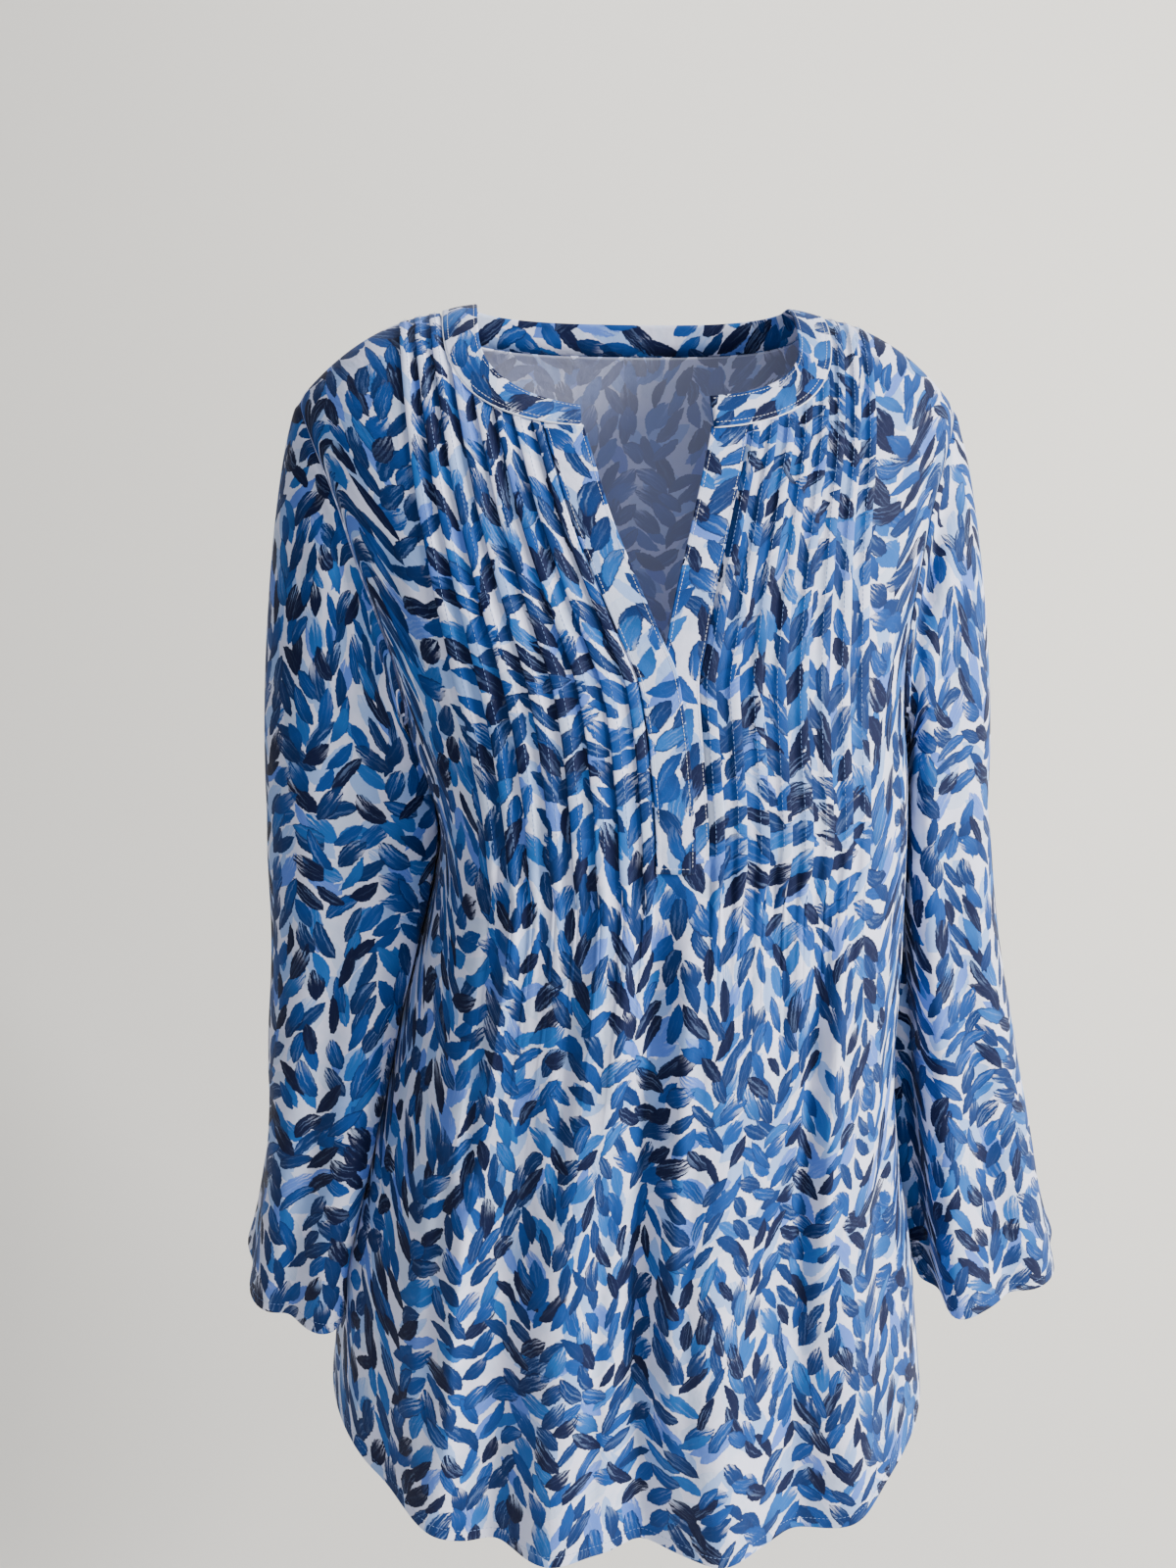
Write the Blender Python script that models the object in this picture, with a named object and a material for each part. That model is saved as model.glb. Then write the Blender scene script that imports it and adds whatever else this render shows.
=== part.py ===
"""Long-sleeved blouse with pintucks and a slit neck, in its worn, hollow shape.

Metres, +Z up. The front faces -Y and the origin lies midway between the
two points where the shoulder seams meet the neck. Each sewn piece is one
closed cloth wall, 0.3 mm clear of its neighbours at the seams.
"""
import bmesh
import bpy
from collections import namedtuple
from math import asin, cos, exp, pi, radians, sin, sqrt
from mathutils import Vector

# Driving sizes of the garment
CLOTH = 0.0014                # thickness of every wall
SEAM_GAP = 0.0003             # clearance between two pieces at a seam
ARMHOLE_GAP = 0.0004
SHOULDER_TIP_X = 0.200        # where the shoulder seam meets the sleeve
UNDERARM_Z = -0.245
RELEASE_Z = -0.300            # where the stitched tucks are let go
HEM_Z = -0.750
HEM_LEVEL_REACH = 0.45        # share of the half width over which the hem is level
HEM_SIDE_RISE = 0.048         # the hem curves up from there to the side seams
HEM_BEND = 1.7                # how late it curves up
HEM_TILT = 0.010              # the hem hangs lower on the +X side

# Neck opening, as a rounded outline seen from the front
NECK_HALF_WIDTH = 0.112
NECK_FRONT_DROP = 0.070
NECK_BACK_DROP = 0.018
NECK_ROUNDNESS = 3.0
NECKBAND_WIDTH = 0.019
NECKBAND_END_X = 0.037        # half the gap between the band's square ends
FRONT_BAND_TIP = 0.62         # how far the band tips back over the opening
BACK_BAND_TIP = -0.40
LEFT_END_TIP = 0.90           # the -X end tips back further
LEFT_END_REACH = 0.90         # over this angle from the centre line
BAND_STAND = 0.14             # how far it stands up at the shoulders

# Slit and its two bands
BAND_WIDTH = 0.0215
SLIT_TOP_Z = -0.040            # the slit's outline starts above the neck seam
SLIT_END_Z = -0.302
BAND_END_Z = -0.307
OVERBAND_LIFT = 0.0004        # clearance under the band that laps over
OVERBAND_REACH = 0.001        # how far it covers the front beside the slit

# Tucks on each half of the front
TUCKS = 8
TUCK_PITCH = 0.0126
TUCK_DEPTH = 0.0060
FIRST_TUCK_EDGE = 0.0085      # from the slit to the first fold edge
TUCK_RISE = 0.0012            # two more layers of cloth at a fold edge
TUCK_STEP = 0.0006            # width of the drop at a fold edge
RELEASE_ROW = 1.018           # place of the row where a released tuck is flat again

FOLD_GROWTH = 0.8             # below 1, a fold deepens fast at its start
SLEEVE_FOLD_GROWTH = 0.6

# The section of the body is a rounded box
ROUNDNESS = 2.5
SHOULDER_ROLL = 0.100         # drop over which the shoulder rounds to the chest
SHOULDER_FLAT = 0.090         # level part of the shoulder line
SHOULDER_FALL = 0.052         # drop from there to the tip
SHOULDER_BEND = 2.4           # how late the shoulder line falls
SHOULDER_TOP_Z = 0.002
SIDE_CALM = 8                 # soft folds fade out this sharply at the side seams

# Shares of half the front's width taken by the slit, tuck and side zones
SLIT_SHARE = 0.10
TUCK_SHARE = 0.70

Body = namedtuple("Body", "height half_width front back lean")
BODY = [
    Body(0.020, 0.225, 0.050, 0.062, 0.000),
    Body(-0.050, 0.214, 0.068, 0.080, 0.000),
    Body(-0.100, 0.197, 0.086, 0.094, 0.000),
    Body(-0.150, 0.182, 0.103, 0.104, 0.002),
    Body(-0.200, 0.168, 0.121, 0.107, 0.006),
    Body(-0.245, 0.160, 0.131, 0.103, 0.010),
    Body(-0.300, 0.161, 0.136, 0.097, 0.013),
    Body(-0.380, 0.164, 0.134, 0.092, 0.012),
    Body(-0.460, 0.168, 0.131, 0.094, 0.008),
    Body(-0.550, 0.184, 0.130, 0.103, 0.002),
    Body(-0.600, 0.196, 0.130, 0.108, 0.000),
    Body(-0.650, 0.202, 0.131, 0.111, 0.000),
    Body(-0.780, 0.218, 0.134, 0.112, 0.000),
]

# The slit's half width and the line of the last tuck, from the centre line
Front = namedtuple("Front", "height slit last_tuck")
FRONT = [
    Front(0.010, 0.074, 0.140),
    Front(-0.060, 0.059, 0.134),
    Front(-0.095, 0.050, 0.130),
    Front(-0.127, 0.041, 0.126),
    Front(-0.160, 0.030, 0.122),
    Front(-0.182, 0.023, 0.119),
    Front(-0.208, 0.0155, 0.116),
    Front(-0.240, 0.0142, 0.113),
    Front(-0.302, 0.0140, 0.112),
    Front(-0.450, 0.0165, 0.122),
    Front(-0.780, 0.0240, 0.158),
]

# Half width of the body at the armhole, from the shoulder tip down
Armhole = namedtuple("Armhole", "share front back")
ARMHOLE = [
    Armhole(0.00, 0.200, 0.200),
    Armhole(0.16, 0.187, 0.193),
    Armhole(0.31, 0.175, 0.181),
    Armhole(0.48, 0.166, 0.172),
    Armhole(0.65, 0.156, 0.163),
    Armhole(0.79, 0.150, 0.157),
    Armhole(0.90, 0.1505, 0.156),
    Armhole(1.00, 0.160, 0.160),
]

# Soft folds: a ridge stands out, a valley has a negative depth
Fold = namedtuple("Fold", "top_x hem_x half_width depth start")
FRONT_FOLDS = [
    Fold(0.014, 0.045, 0.022, 0.014, -0.300),
    Fold(-0.012, -0.006, 0.017, -0.011, -0.310),
    Fold(-0.045, -0.064, 0.021, 0.011, -0.320),
    Fold(-0.074, -0.096, 0.014, -0.009, -0.330),
    Fold(-0.112, -0.138, 0.018, 0.010, -0.235),
    Fold(-0.140, -0.170, 0.012, -0.005, -0.260),
    Fold(0.066, 0.096, 0.016, -0.009, -0.330),
    Fold(0.096, 0.138, 0.020, 0.010, -0.320),
]
BACK_FOLDS = [
    Fold(-0.105, -0.135, 0.019, 0.009, -0.220),
    Fold(-0.072, -0.095, 0.016, -0.008, -0.300),
    Fold(-0.035, -0.052, 0.021, 0.010, -0.260),
    Fold(0.000, -0.008, 0.017, -0.009, -0.330),
    Fold(0.036, 0.040, 0.020, 0.010, -0.280),
    Fold(0.068, 0.085, 0.016, -0.008, -0.300),
    Fold(0.104, 0.132, 0.019, 0.009, -0.220),
]

# Level sections of each sleeve: an oval with its long half at an angle from +X
Sleeve = namedtuple("Sleeve", "height x y long short turn")
RIGHT_SLEEVE = [
    Sleeve(-0.300, 0.2080, 0.010, 0.065, 0.0320, 84),
    Sleeve(-0.370, 0.2180, 0.012, 0.067, 0.0350, 80),
    Sleeve(-0.440, 0.2305, 0.014, 0.069, 0.0380, 74),
    Sleeve(-0.510, 0.2441, 0.016, 0.072, 0.0410, 66),
    Sleeve(-0.580, 0.2603, 0.016, 0.076, 0.0425, 56),
    Sleeve(-0.652, 0.2752, 0.015, 0.082, 0.0430, 46),
]
LEFT_SLEEVE = [
    Sleeve(-0.300, -0.1940, 0.010, 0.065, 0.0385, 90),
    Sleeve(-0.370, -0.1985, 0.012, 0.068, 0.0375, 91),
    Sleeve(-0.440, -0.2050, 0.014, 0.071, 0.0350, 93),
    Sleeve(-0.510, -0.2140, 0.016, 0.074, 0.0315, 96),
    Sleeve(-0.580, -0.2294, 0.018, 0.077, 0.0285, 102),
    Sleeve(-0.632, -0.2393, 0.018, 0.081, 0.0280, 110),
]

# Folds along a sleeve, by their angle round it: 0 is +X and 270 is the front
SleeveFold = namedtuple("SleeveFold", "angle hem_angle half_width depth start")
RIGHT_SLEEVE_FOLDS = [
    SleeveFold(232, 226, 17, 0.008, -0.120),
    SleeveFold(268, 262, 20, -0.004, -0.200),
    SleeveFold(318, 312, 22, 0.005, -0.420),
    SleeveFold(345, 342, 16, -0.005, -0.480),
    SleeveFold(120, 128, 20, 0.005, -0.300),
    SleeveFold(160, 166, 18, -0.005, -0.400),
]
LEFT_SLEEVE_FOLDS = [
    SleeveFold(308, 300, 17, 0.008, -0.120),
    SleeveFold(272, 264, 20, -0.004, -0.200),
    SleeveFold(225, 226, 20, 0.006, -0.420),
    SleeveFold(190, 192, 16, -0.005, -0.480),
    SleeveFold(60, 54, 20, 0.005, -0.300),
]
SLEEVE_JOIN_Z = -0.300        # where the sleeve head runs into the sleeve's tube
HEAD_FALL = 1.70              # slope of the sleeve head where it leaves the shoulder
UNDERARM_LEAD = 0.010         # how far the head keeps its direction from the armhole
SHOULDER_LEAD = 0.024
HEAD_TAIL = 0.42              # share of the head's fall that runs straight down

# Room that the cutters take beyond the cloth
CUTTER_TOP_Z = 0.060
CUTTER_REACH = 0.300
CUTTER_OVERLAP = 0.020

# How finely the sheets are divided
TOP_ROWS = 13                 # crowded towards the shoulder and the underarm
LOW_ROWS = 9
HEAD_ROWS = 8
TUBE_ROWS = 9
HEAD_CROWDING = 1.35          # crowds rows towards the armhole
BAND_ROWS = 30

ANGLE_STEP = 0.002            # either way of a place, to find the neck seam's slope
LEVEL_LIMIT = 0.02            # nearer the shoulder seams the way in is level
HEIGHT_STEP = 0.005           # either way of a place, to find the slit's slant

PRINT_BLUE = (0.22, 0.36, 0.66, 1.0)
BAND_BLUE = (0.16, 0.30, 0.60, 1.0)
CLOTH_ROUGHNESS = 0.75

FRONT_SIDE, BACK_SIDE = -1, 1


def clamp(value):
    return min(max(value, 0.0), 1.0)


def ease(value):
    """0 to 1 with level ends."""
    share = clamp(value)
    return share * share * (3 - 2 * share)


def curve(rows, along, value):
    """Smooth function through two columns of a table, with no overshoot."""
    pairs = sorted((getattr(row, along), getattr(row, value)) for row in rows)
    places = [pair[0] for pair in pairs]
    values = [pair[1] for pair in pairs]
    count = len(pairs) - 1
    rises = [(values[i + 1] - values[i]) / (places[i + 1] - places[i]) for i in range(count)]
    slopes = [rises[0]] + [0.0] * (count - 1) + [rises[-1]]
    for i in range(1, count):
        if rises[i - 1] * rises[i] > 0:
            slopes[i] = 2 * rises[i - 1] * rises[i] / (rises[i - 1] + rises[i])

    def at(place):
        if place <= places[0]:
            return values[0]
        if place >= places[-1]:
            return values[-1]
        i = max(k for k in range(count) if places[k] <= place)
        span = places[i + 1] - places[i]
        t = (place - places[i]) / span
        bend = t * t * (3 - 2 * t)
        lead = span * t * (1 - t) * ((1 - t) * slopes[i] - t * slopes[i + 1])
        return values[i] + (values[i + 1] - values[i]) * bend + lead

    return at


half_width = curve(BODY, "height", "half_width")
front_depth = curve(BODY, "height", "front")
back_depth = curve(BODY, "height", "back")
lean = curve(BODY, "height", "lean")
slit_edge = curve(FRONT, "height", "slit")
last_tuck = curve(FRONT, "height", "last_tuck")
armhole_edge = {
    FRONT_SIDE: curve(ARMHOLE, "share", "front"),
    BACK_SIDE: curve(ARMHOLE, "share", "back"),
}


def shoulder_height(x):
    """Height of the shoulder line: level by the neck, then falling to the tip."""
    out = max(0.0, abs(x) - SHOULDER_FLAT) / (SHOULDER_TIP_X - SHOULDER_FLAT)
    return SHOULDER_TOP_Z - SHOULDER_FALL * out ** SHOULDER_BEND


def body_depth(x, height, side):
    """Distance of the cloth from the plane between front and back."""
    deepest = front_depth(height) if side == FRONT_SIDE else back_depth(height)
    reach = clamp(abs(x) / half_width(height))
    depth = deepest * (1 - reach ** ROUNDNESS) ** (1 / ROUNDNESS)
    drop = clamp((shoulder_height(x) - height) / SHOULDER_ROLL)
    return depth * sqrt(1 - (1 - drop) ** 2)


def fold_depth(folds, x, height):
    """How far the soft folds stand out at a place on a panel."""
    total = 0.0
    for fold in folds:
        grown = clamp((fold.start - height) / (fold.start - HEM_Z))
        middle = fold.top_x + (fold.hem_x - fold.top_x) * grown
        total += fold.depth * grown ** FOLD_GROWTH * exp(-(((x - middle) / fold.half_width) ** 2))
    return total


def body_point(x, height, side):
    """Point of a body panel, x being measured from the panel's centre line."""
    depth = body_depth(x, height, side)
    folds = FRONT_FOLDS if side == FRONT_SIDE else BACK_FOLDS
    calm = 1 - clamp(abs(x) / half_width(height)) ** SIDE_CALM
    depth += fold_depth(folds, x, height) * calm
    return Vector((x + lean(height), side * (depth + SEAM_GAP / 2), height))


def side_share(share):
    """Share of the way across the side zone."""
    return clamp((share - TUCK_SHARE) / (1 - TUCK_SHARE))


def column_x(share, height, end_x):
    """Half width of a column of the front, by its share of the way to the side."""
    slit, tuck = slit_edge(height), last_tuck(height)
    if share <= SLIT_SHARE:
        return slit * share / SLIT_SHARE
    if share <= TUCK_SHARE:
        return slit + (tuck - slit) * (share - SLIT_SHARE) / (TUCK_SHARE - SLIT_SHARE)
    return tuck + (end_x - tuck) * sin(side_share(share) * pi / 2)


def hem_height(place):
    """Height of the hem: nearly level, curving up at the side seams."""
    side_x = half_width(HEM_Z)
    reach = column_x(abs(place), HEM_Z, side_x) / side_x
    rise = clamp((reach - HEM_LEVEL_REACH) / (1 - HEM_LEVEL_REACH)) ** HEM_BEND
    return HEM_Z - HEM_TILT * place + HEM_SIDE_RISE * rise


def panel_point(side, place, down):
    """Point of the front or back: place runs -1 to 1 across, down 0 to 1 to 2."""
    share = abs(place)
    middle = RELEASE_Z + (UNDERARM_Z - RELEASE_Z) * ease(side_share(share))
    if down <= 1:
        top = 0.0
        for _ in range(6):
            top = shoulder_height(column_x(share, top, SHOULDER_TIP_X))
        height = top + (middle - top) * down
        end_x = armhole_edge[side](down)
    else:
        height = middle + (hem_height(place) - middle) * (down - 1)
        end_x = half_width(height)
    x = column_x(share, height, end_x)
    return body_point(x if place > 0 else -x, height, side)


def cloth_material(name, colour):
    material = bpy.data.materials.new(name)
    material.use_nodes = True
    shader = material.node_tree.nodes["Principled BSDF"]
    shader.inputs["Base Color"].default_value = colour
    shader.inputs["Roughness"].default_value = CLOTH_ROUGHNESS
    shader.inputs["Metallic"].default_value = 0.0
    return material


def wall(name, columns, rows, place, closed=False, raised=None, steer=None, colour=PRINT_BLUE):
    """Cloth wall made of a grid, its inner copy and a rim round every opening.

    place(u, v) gives the outer surface, raised(u, v) adds to it over a plain
    inside, and steer(u, v, normal) turns the direction through the wall.
    """
    bm = bmesh.new()
    across, down = len(columns) - 1, len(rows) - 1
    bmesh.ops.create_grid(bm, x_segments=across, y_segments=down, size=1.0)
    spots = {}
    for vert in bm.verts:
        u = columns[round((vert.co.x + 1) / 2 * across)]
        v = rows[round((1 - vert.co.y) / 2 * down)]
        spots[vert] = (u, v)
        vert.co = place(u, v)
    if closed:
        bmesh.ops.remove_doubles(bm, verts=bm.verts[:], dist=0.00002)
    bm.normal_update()
    outer_verts, outer_faces = bm.verts[:], bm.faces[:]
    rim_edges = [edge for edge in bm.edges if edge.is_boundary]
    copy = bmesh.ops.duplicate(bm, geom=outer_verts + bm.edges[:] + outer_faces)
    inner_of = copy["vert_map"]
    for vert in outer_verts:
        u, v = spots[vert]
        normal = vert.normal.copy()
        through = steer(u, v, normal) if steer else normal
        inner_of[vert].co = vert.co - through * (CLOTH / through.dot(normal))
        if raised:
            vert.co += normal * raised(u, v)
    for edge in rim_edges:
        loop = next(item for item in edge.link_loops if item.vert in spots)
        start, end = loop.vert, loop.link_loop_next.vert
        bm.faces.new((end, start, inner_of[start], inner_of[end]))
    inner_faces = [face for face in copy["geom"] if isinstance(face, bmesh.types.BMFace)]
    bmesh.ops.reverse_faces(bm, faces=inner_faces)

    mesh = bpy.data.meshes.new(name)
    bm.to_mesh(mesh)
    bm.free()
    mesh.shade_smooth()
    mesh.materials.append(cloth_material(name + "_cloth", colour))
    piece = bpy.data.objects.new(name, mesh)
    blouse.objects.link(piece)
    return piece


def outline_cutter(name, points, y_from, y_to):
    """Prism along Y on an outline in the XZ plane, made from a flat curve."""
    flat = bpy.data.curves.new(name, "CURVE")
    flat.dimensions = "2D"
    flat.fill_mode = "BOTH"
    flat.extrude = (y_to - y_from) / 2
    spline = flat.splines.new("POLY")
    spline.points.add(len(points) - 1)
    for point, (x, z) in zip(spline.points, points):
        point.co = (x, z, 0.0, 1.0)
    spline.use_cyclic_u = True
    guide = bpy.data.objects.new(name + "_outline", flat)
    guide.location = (0.0, (y_from + y_to) / 2, 0.0)
    guide.rotation_euler = (pi / 2, 0.0, 0.0)
    cutters.objects.link(guide)
    bpy.context.view_layer.update()
    mesh = bpy.data.meshes.new_from_object(guide.evaluated_get(bpy.context.evaluated_depsgraph_get()))
    bm = bmesh.new()
    bm.from_mesh(mesh)
    bmesh.ops.remove_doubles(bm, verts=bm.verts[:], dist=0.00001)
    bmesh.ops.recalc_face_normals(bm, faces=bm.faces[:])
    bm.to_mesh(mesh)
    bm.free()
    cutter = bpy.data.objects.new(name, mesh)
    cutter.matrix_world = guide.matrix_world
    cutter.hide_render = True
    cutter.display_type = "WIRE"
    cutters.objects.link(cutter)
    bpy.data.objects.remove(guide)
    return cutter


def cut(piece, cutter):
    modifier = piece.modifiers.new("cut_" + cutter.name, "BOOLEAN")
    modifier.operation = "DIFFERENCE"
    modifier.solver = "EXACT"
    modifier.object = cutter


def neck_height(x, side):
    """Height of the neck seam at a distance from the centre line."""
    drop = NECK_FRONT_DROP if side == FRONT_SIDE else NECK_BACK_DROP
    reach = clamp(abs(x) / NECK_HALF_WIDTH)
    low = (1 - reach ** NECK_ROUNDNESS) ** (1 / NECK_ROUNDNESS)
    return shoulder_height(NECK_HALF_WIDTH) - drop * low


def neck_x(angle):
    """Distance of the neck seam from the centre line at an angle from it."""
    return NECK_HALF_WIDTH * abs(sin(angle)) ** (2 / NECK_ROUNDNESS) * (1 if sin(angle) >= 0 else -1)


def neck_cutter(name, side):
    steps = 24
    angles = [-pi / 2 + pi * i / steps for i in range(steps + 1)]
    points = [(neck_x(a), neck_height(neck_x(a), side)) for a in angles]
    points += [(NECK_HALF_WIDTH, CUTTER_TOP_Z), (-NECK_HALF_WIDTH, CUTTER_TOP_Z)]
    return outline_cutter(name, points, *sorted((side * CUTTER_REACH, -side * CUTTER_OVERLAP)))


def slit_cutter():
    steps = 36
    heights = [SLIT_TOP_Z + (SLIT_END_Z - SLIT_TOP_Z) * i / steps for i in range(steps + 1)]
    left = [(lean(z) - slit_edge(z), z) for z in heights]
    right = [(lean(z) + slit_edge(z), z) for z in reversed(heights)]
    return outline_cutter("slit_cutter", left + right, -CUTTER_REACH, 0.0)


def keep_seams(place, down, normal):
    """Keeps a panel's edges flat where front and back meet."""
    at_shoulder = down == 0
    at_side = abs(place) == 1 and down >= 1
    if at_shoulder or at_side:
        return Vector((normal.x, 0.0, normal.z)).normalized()
    return normal


def tuck_columns():
    """Columns of the tuck zone with their rise: stitch line, fold edge, foot."""
    span = FIRST_TUCK_EDGE + TUCK_PITCH * (TUCKS - 1) + TUCK_STEP
    columns = {}
    for k in range(TUCKS):
        edge = FIRST_TUCK_EDGE + TUCK_PITCH * k
        for distance, rise in ((edge - TUCK_DEPTH, 0.0), (edge, TUCK_RISE), (edge + TUCK_STEP, 0.0)):
            share = SLIT_SHARE + (TUCK_SHARE - SLIT_SHARE) * distance / span
            columns[round(share, 6)] = rise
    return columns


def row_places(low_rows):
    top = [ease(i / TOP_ROWS) for i in range(TOP_ROWS + 1)]
    return top + [RELEASE_ROW] + [1 + i / low_rows for i in range(1, low_rows + 1)]


def make_front():
    rises = tuck_columns()
    half = [SLIT_SHARE / 2, SLIT_SHARE] + sorted(rises)
    half += [TUCK_SHARE + (1 - TUCK_SHARE) * i / 5 for i in range(1, 6)]
    columns = [-share for share in reversed(half)] + [0.0] + half

    def tuck_rise(place, down):
        return rises.get(abs(place), 0.0) if down <= 1 else 0.0

    front = wall(
        "front", columns, row_places(LOW_ROWS),
        lambda u, v: panel_point(FRONT_SIDE, u, v),
        raised=tuck_rise, steer=keep_seams,
    )
    cut(front, neck_cutter("front_neck_cutter", FRONT_SIDE))
    cut(front, slit_cutter())


def make_back():
    steps = 13
    half = [sin(pi / 2 * i / steps) for i in range(1, steps)] + [1.0]
    columns = half[::-1] + [0.0] + [-share for share in half]

    def back_point(place, down):
        return panel_point(BACK_SIDE, place, down)

    back = wall("back", columns, row_places(LOW_ROWS - 1), back_point, steer=keep_seams)
    cut(back, neck_cutter("back_neck_cutter", BACK_SIDE))


def armhole_ring(hand):
    """Places round an armhole from the underarm, up the front, down the back."""
    shares = [ease(i / TOP_ROWS) for i in range(TOP_ROWS + 1)]
    ring = [panel_point(FRONT_SIDE, hand, share) for share in reversed(shares)]
    ring += [panel_point(BACK_SIDE, hand, share) for share in shares[1:-1]]
    for index in (0, TOP_ROWS):
        ring[index].y = 0.0
    return ring


def make_sleeve(name, hand, sections, folds):
    """A set-in sleeve: a head from the armhole, then a tube of level ovals."""
    middle_x, middle_y = curve(sections, "height", "x"), curve(sections, "height", "y")
    long_half, short_half = curve(sections, "height", "long"), curve(sections, "height", "short")
    turn = curve(sections, "height", "turn")
    hem = sections[-1].height
    ring = armhole_ring(hand)
    steps = len(ring)
    inner_angle = 180.0 if hand > 0 else 0.0

    def tube_point(index, height):
        azimuth = inner_angle + hand * 360.0 * index / steps
        oval = radians(azimuth - turn(height))
        axis = radians(turn(height))
        long_way, short_way = long_half(height) * cos(oval), short_half(height) * sin(oval)
        out = Vector((
            long_way * cos(axis) - short_way * sin(axis),
            long_way * sin(axis) + short_way * cos(axis),
            0.0,
        ))
        stand = 0.0
        for fold in folds:
            grown = clamp((fold.start - height) / (fold.start - hem))
            angle = fold.angle + (fold.hem_angle - fold.angle) * grown
            away = (azimuth - angle + 180) % 360 - 180
            stand += fold.depth * grown ** SLEEVE_FOLD_GROWTH * exp(-((away / fold.half_width) ** 2))
        out *= 1 + stand / out.length
        return Vector((middle_x(height), middle_y(height), height)) + out

    def sleeve_point(index, down):
        index = index % steps
        if down > 1:
            return tube_point(index, SLEEVE_JOIN_Z + (hem - SLEEVE_JOIN_Z) * (down - 1))
        start, end = ring[index], tube_point(index, SLEEVE_JOIN_Z)
        topness = (1 - cos(2 * pi * index / steps)) / 2
        fall = start.z - end.z
        out = Vector((hand, 0.0, -HEAD_FALL * topness)).normalized()
        lead = start + out * (UNDERARM_LEAD + (SHOULDER_LEAD - UNDERARM_LEAD) * topness)
        tail = end + Vector((0.0, 0.0, fall * HEAD_TAIL))
        rest = 1 - down
        point = start * rest ** 3 + lead * 3 * rest ** 2 * down
        point += tail * 3 * rest * down ** 2 + end * down ** 3
        return point + out * ARMHOLE_GAP * rest

    head = [(i / HEAD_ROWS) ** HEAD_CROWDING for i in range(HEAD_ROWS + 1)]
    rows = head + [1 + i / TUBE_ROWS for i in range(1, TUBE_ROWS + 1)]
    columns = list(range(steps + 1))[::hand]
    wall(name, columns, rows, sleeve_point, closed=True)


def neck_seam(angle, side):
    """Point of the neck seam and the way into the opening, in the XZ plane."""
    x = neck_x(angle)
    z = neck_height(x, side)
    behind, ahead = neck_x(angle - ANGLE_STEP), neck_x(angle + ANGLE_STEP)
    climb = neck_height(ahead, side) - neck_height(behind, side)
    inward = Vector((-climb, 0.0, ahead - behind)).normalized()
    if abs(cos(angle)) < LEVEL_LIMIT:
        inward = Vector((-1.0 if x > 0 else 1.0, 0.0, 0.0))
    point = Vector((x + lean(z), side * (body_depth(x, z, side) + SEAM_GAP / 2), z))
    return point, inward


def make_neckband():
    """The band round the neck, open at the front, with square ends."""
    end_angle = asin((NECKBAND_END_X / NECK_HALF_WIDTH) ** (NECK_ROUNDNESS / 2))
    front_steps, back_steps = 13, 18
    reaches = [sin(pi / 2 * i / front_steps) for i in range(front_steps)]
    angles = [end_angle + (pi / 2 - end_angle) * reach for reach in reaches]
    stations = [(-angle, FRONT_SIDE) for angle in angles]
    stations += [(-pi / 2 * cos(pi * i / back_steps), BACK_SIDE) for i in range(back_steps + 1)]
    stations += [(angle, FRONT_SIDE) for angle in reversed(angles)]

    def band_frame(index):
        angle, side = stations[index]
        seam, inward = neck_seam(angle, side)
        if abs(abs(angle) - pi / 2) < 1e-6:
            seam.y = 0.0
        tip = FRONT_BAND_TIP if side == FRONT_SIDE else BACK_BAND_TIP
        if angle < 0 and side == FRONT_SIDE:
            tip += LEFT_END_TIP * ease((LEFT_END_REACH + angle) / (LEFT_END_REACH - end_angle))
        way = Vector((inward.x, tip * inward.z, inward.z + BAND_STAND)).normalized()
        return seam, inward, way

    def band_point(index, share):
        seam, inward, way = band_frame(index)
        start = seam + inward * SEAM_GAP
        return start + way * NECKBAND_WIDTH * share

    def keep_seam_edge(index, share, normal):
        if share > 0:
            return normal
        inward = band_frame(index)[1]
        return (normal - inward * normal.dot(inward)).normalized()

    wall("neckband", list(range(len(stations))), [1.0, 0.5, 0.0], band_point,
         steer=keep_seam_edge, colour=BAND_BLUE)


def make_slit_band(name, hand, seam_reach, lift):
    """A band along one edge of the slit, its thickness straight through in Y."""
    bottom = BAND_END_Z if lift > 0 else SLIT_END_Z + SEAM_GAP
    bm = bmesh.new()
    bmesh.ops.create_grid(bm, x_segments=3, y_segments=BAND_ROWS, size=1.0)
    for vert in bm.verts:
        across, down = (vert.co.x + 1) / 2, (1 - vert.co.y) / 2
        top_x = slit_edge(-NECK_FRONT_DROP) + seam_reach - (BAND_WIDTH + seam_reach) * across
        top = neck_height(top_x, FRONT_SIDE) - SEAM_GAP
        height = top + (bottom - top) * down
        wider = slit_edge(height + HEIGHT_STEP) - slit_edge(height - HEIGHT_STEP)
        slant = wider / (2 * HEIGHT_STEP)
        width = BAND_WIDTH * sqrt(1 + slant * slant)
        x = hand * (slit_edge(height) + seam_reach - (width + seam_reach) * across)
        point = body_point(x, height, FRONT_SIDE)
        vert.co = point - Vector((0.0, lift, 0.0))
    shell = bmesh.ops.extrude_face_region(bm, geom=bm.faces[:])
    moved = [item for item in shell["geom"] if isinstance(item, bmesh.types.BMVert)]
    bmesh.ops.translate(bm, verts=moved, vec=(0.0, -CLOTH, 0.0))
    bmesh.ops.recalc_face_normals(bm, faces=bm.faces[:])
    mesh = bpy.data.meshes.new(name)
    bm.to_mesh(mesh)
    bm.free()
    mesh.materials.append(cloth_material(name + "_cloth", BAND_BLUE))
    blouse.objects.link(bpy.data.objects.new(name, mesh))


for item in list(bpy.data.objects):
    bpy.data.objects.remove(item, do_unlink=True)

blouse = bpy.data.collections.new("blouse")
cutters = bpy.data.collections.new("cutters")
for collection in (blouse, cutters):
    bpy.context.scene.collection.children.link(collection)

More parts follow.
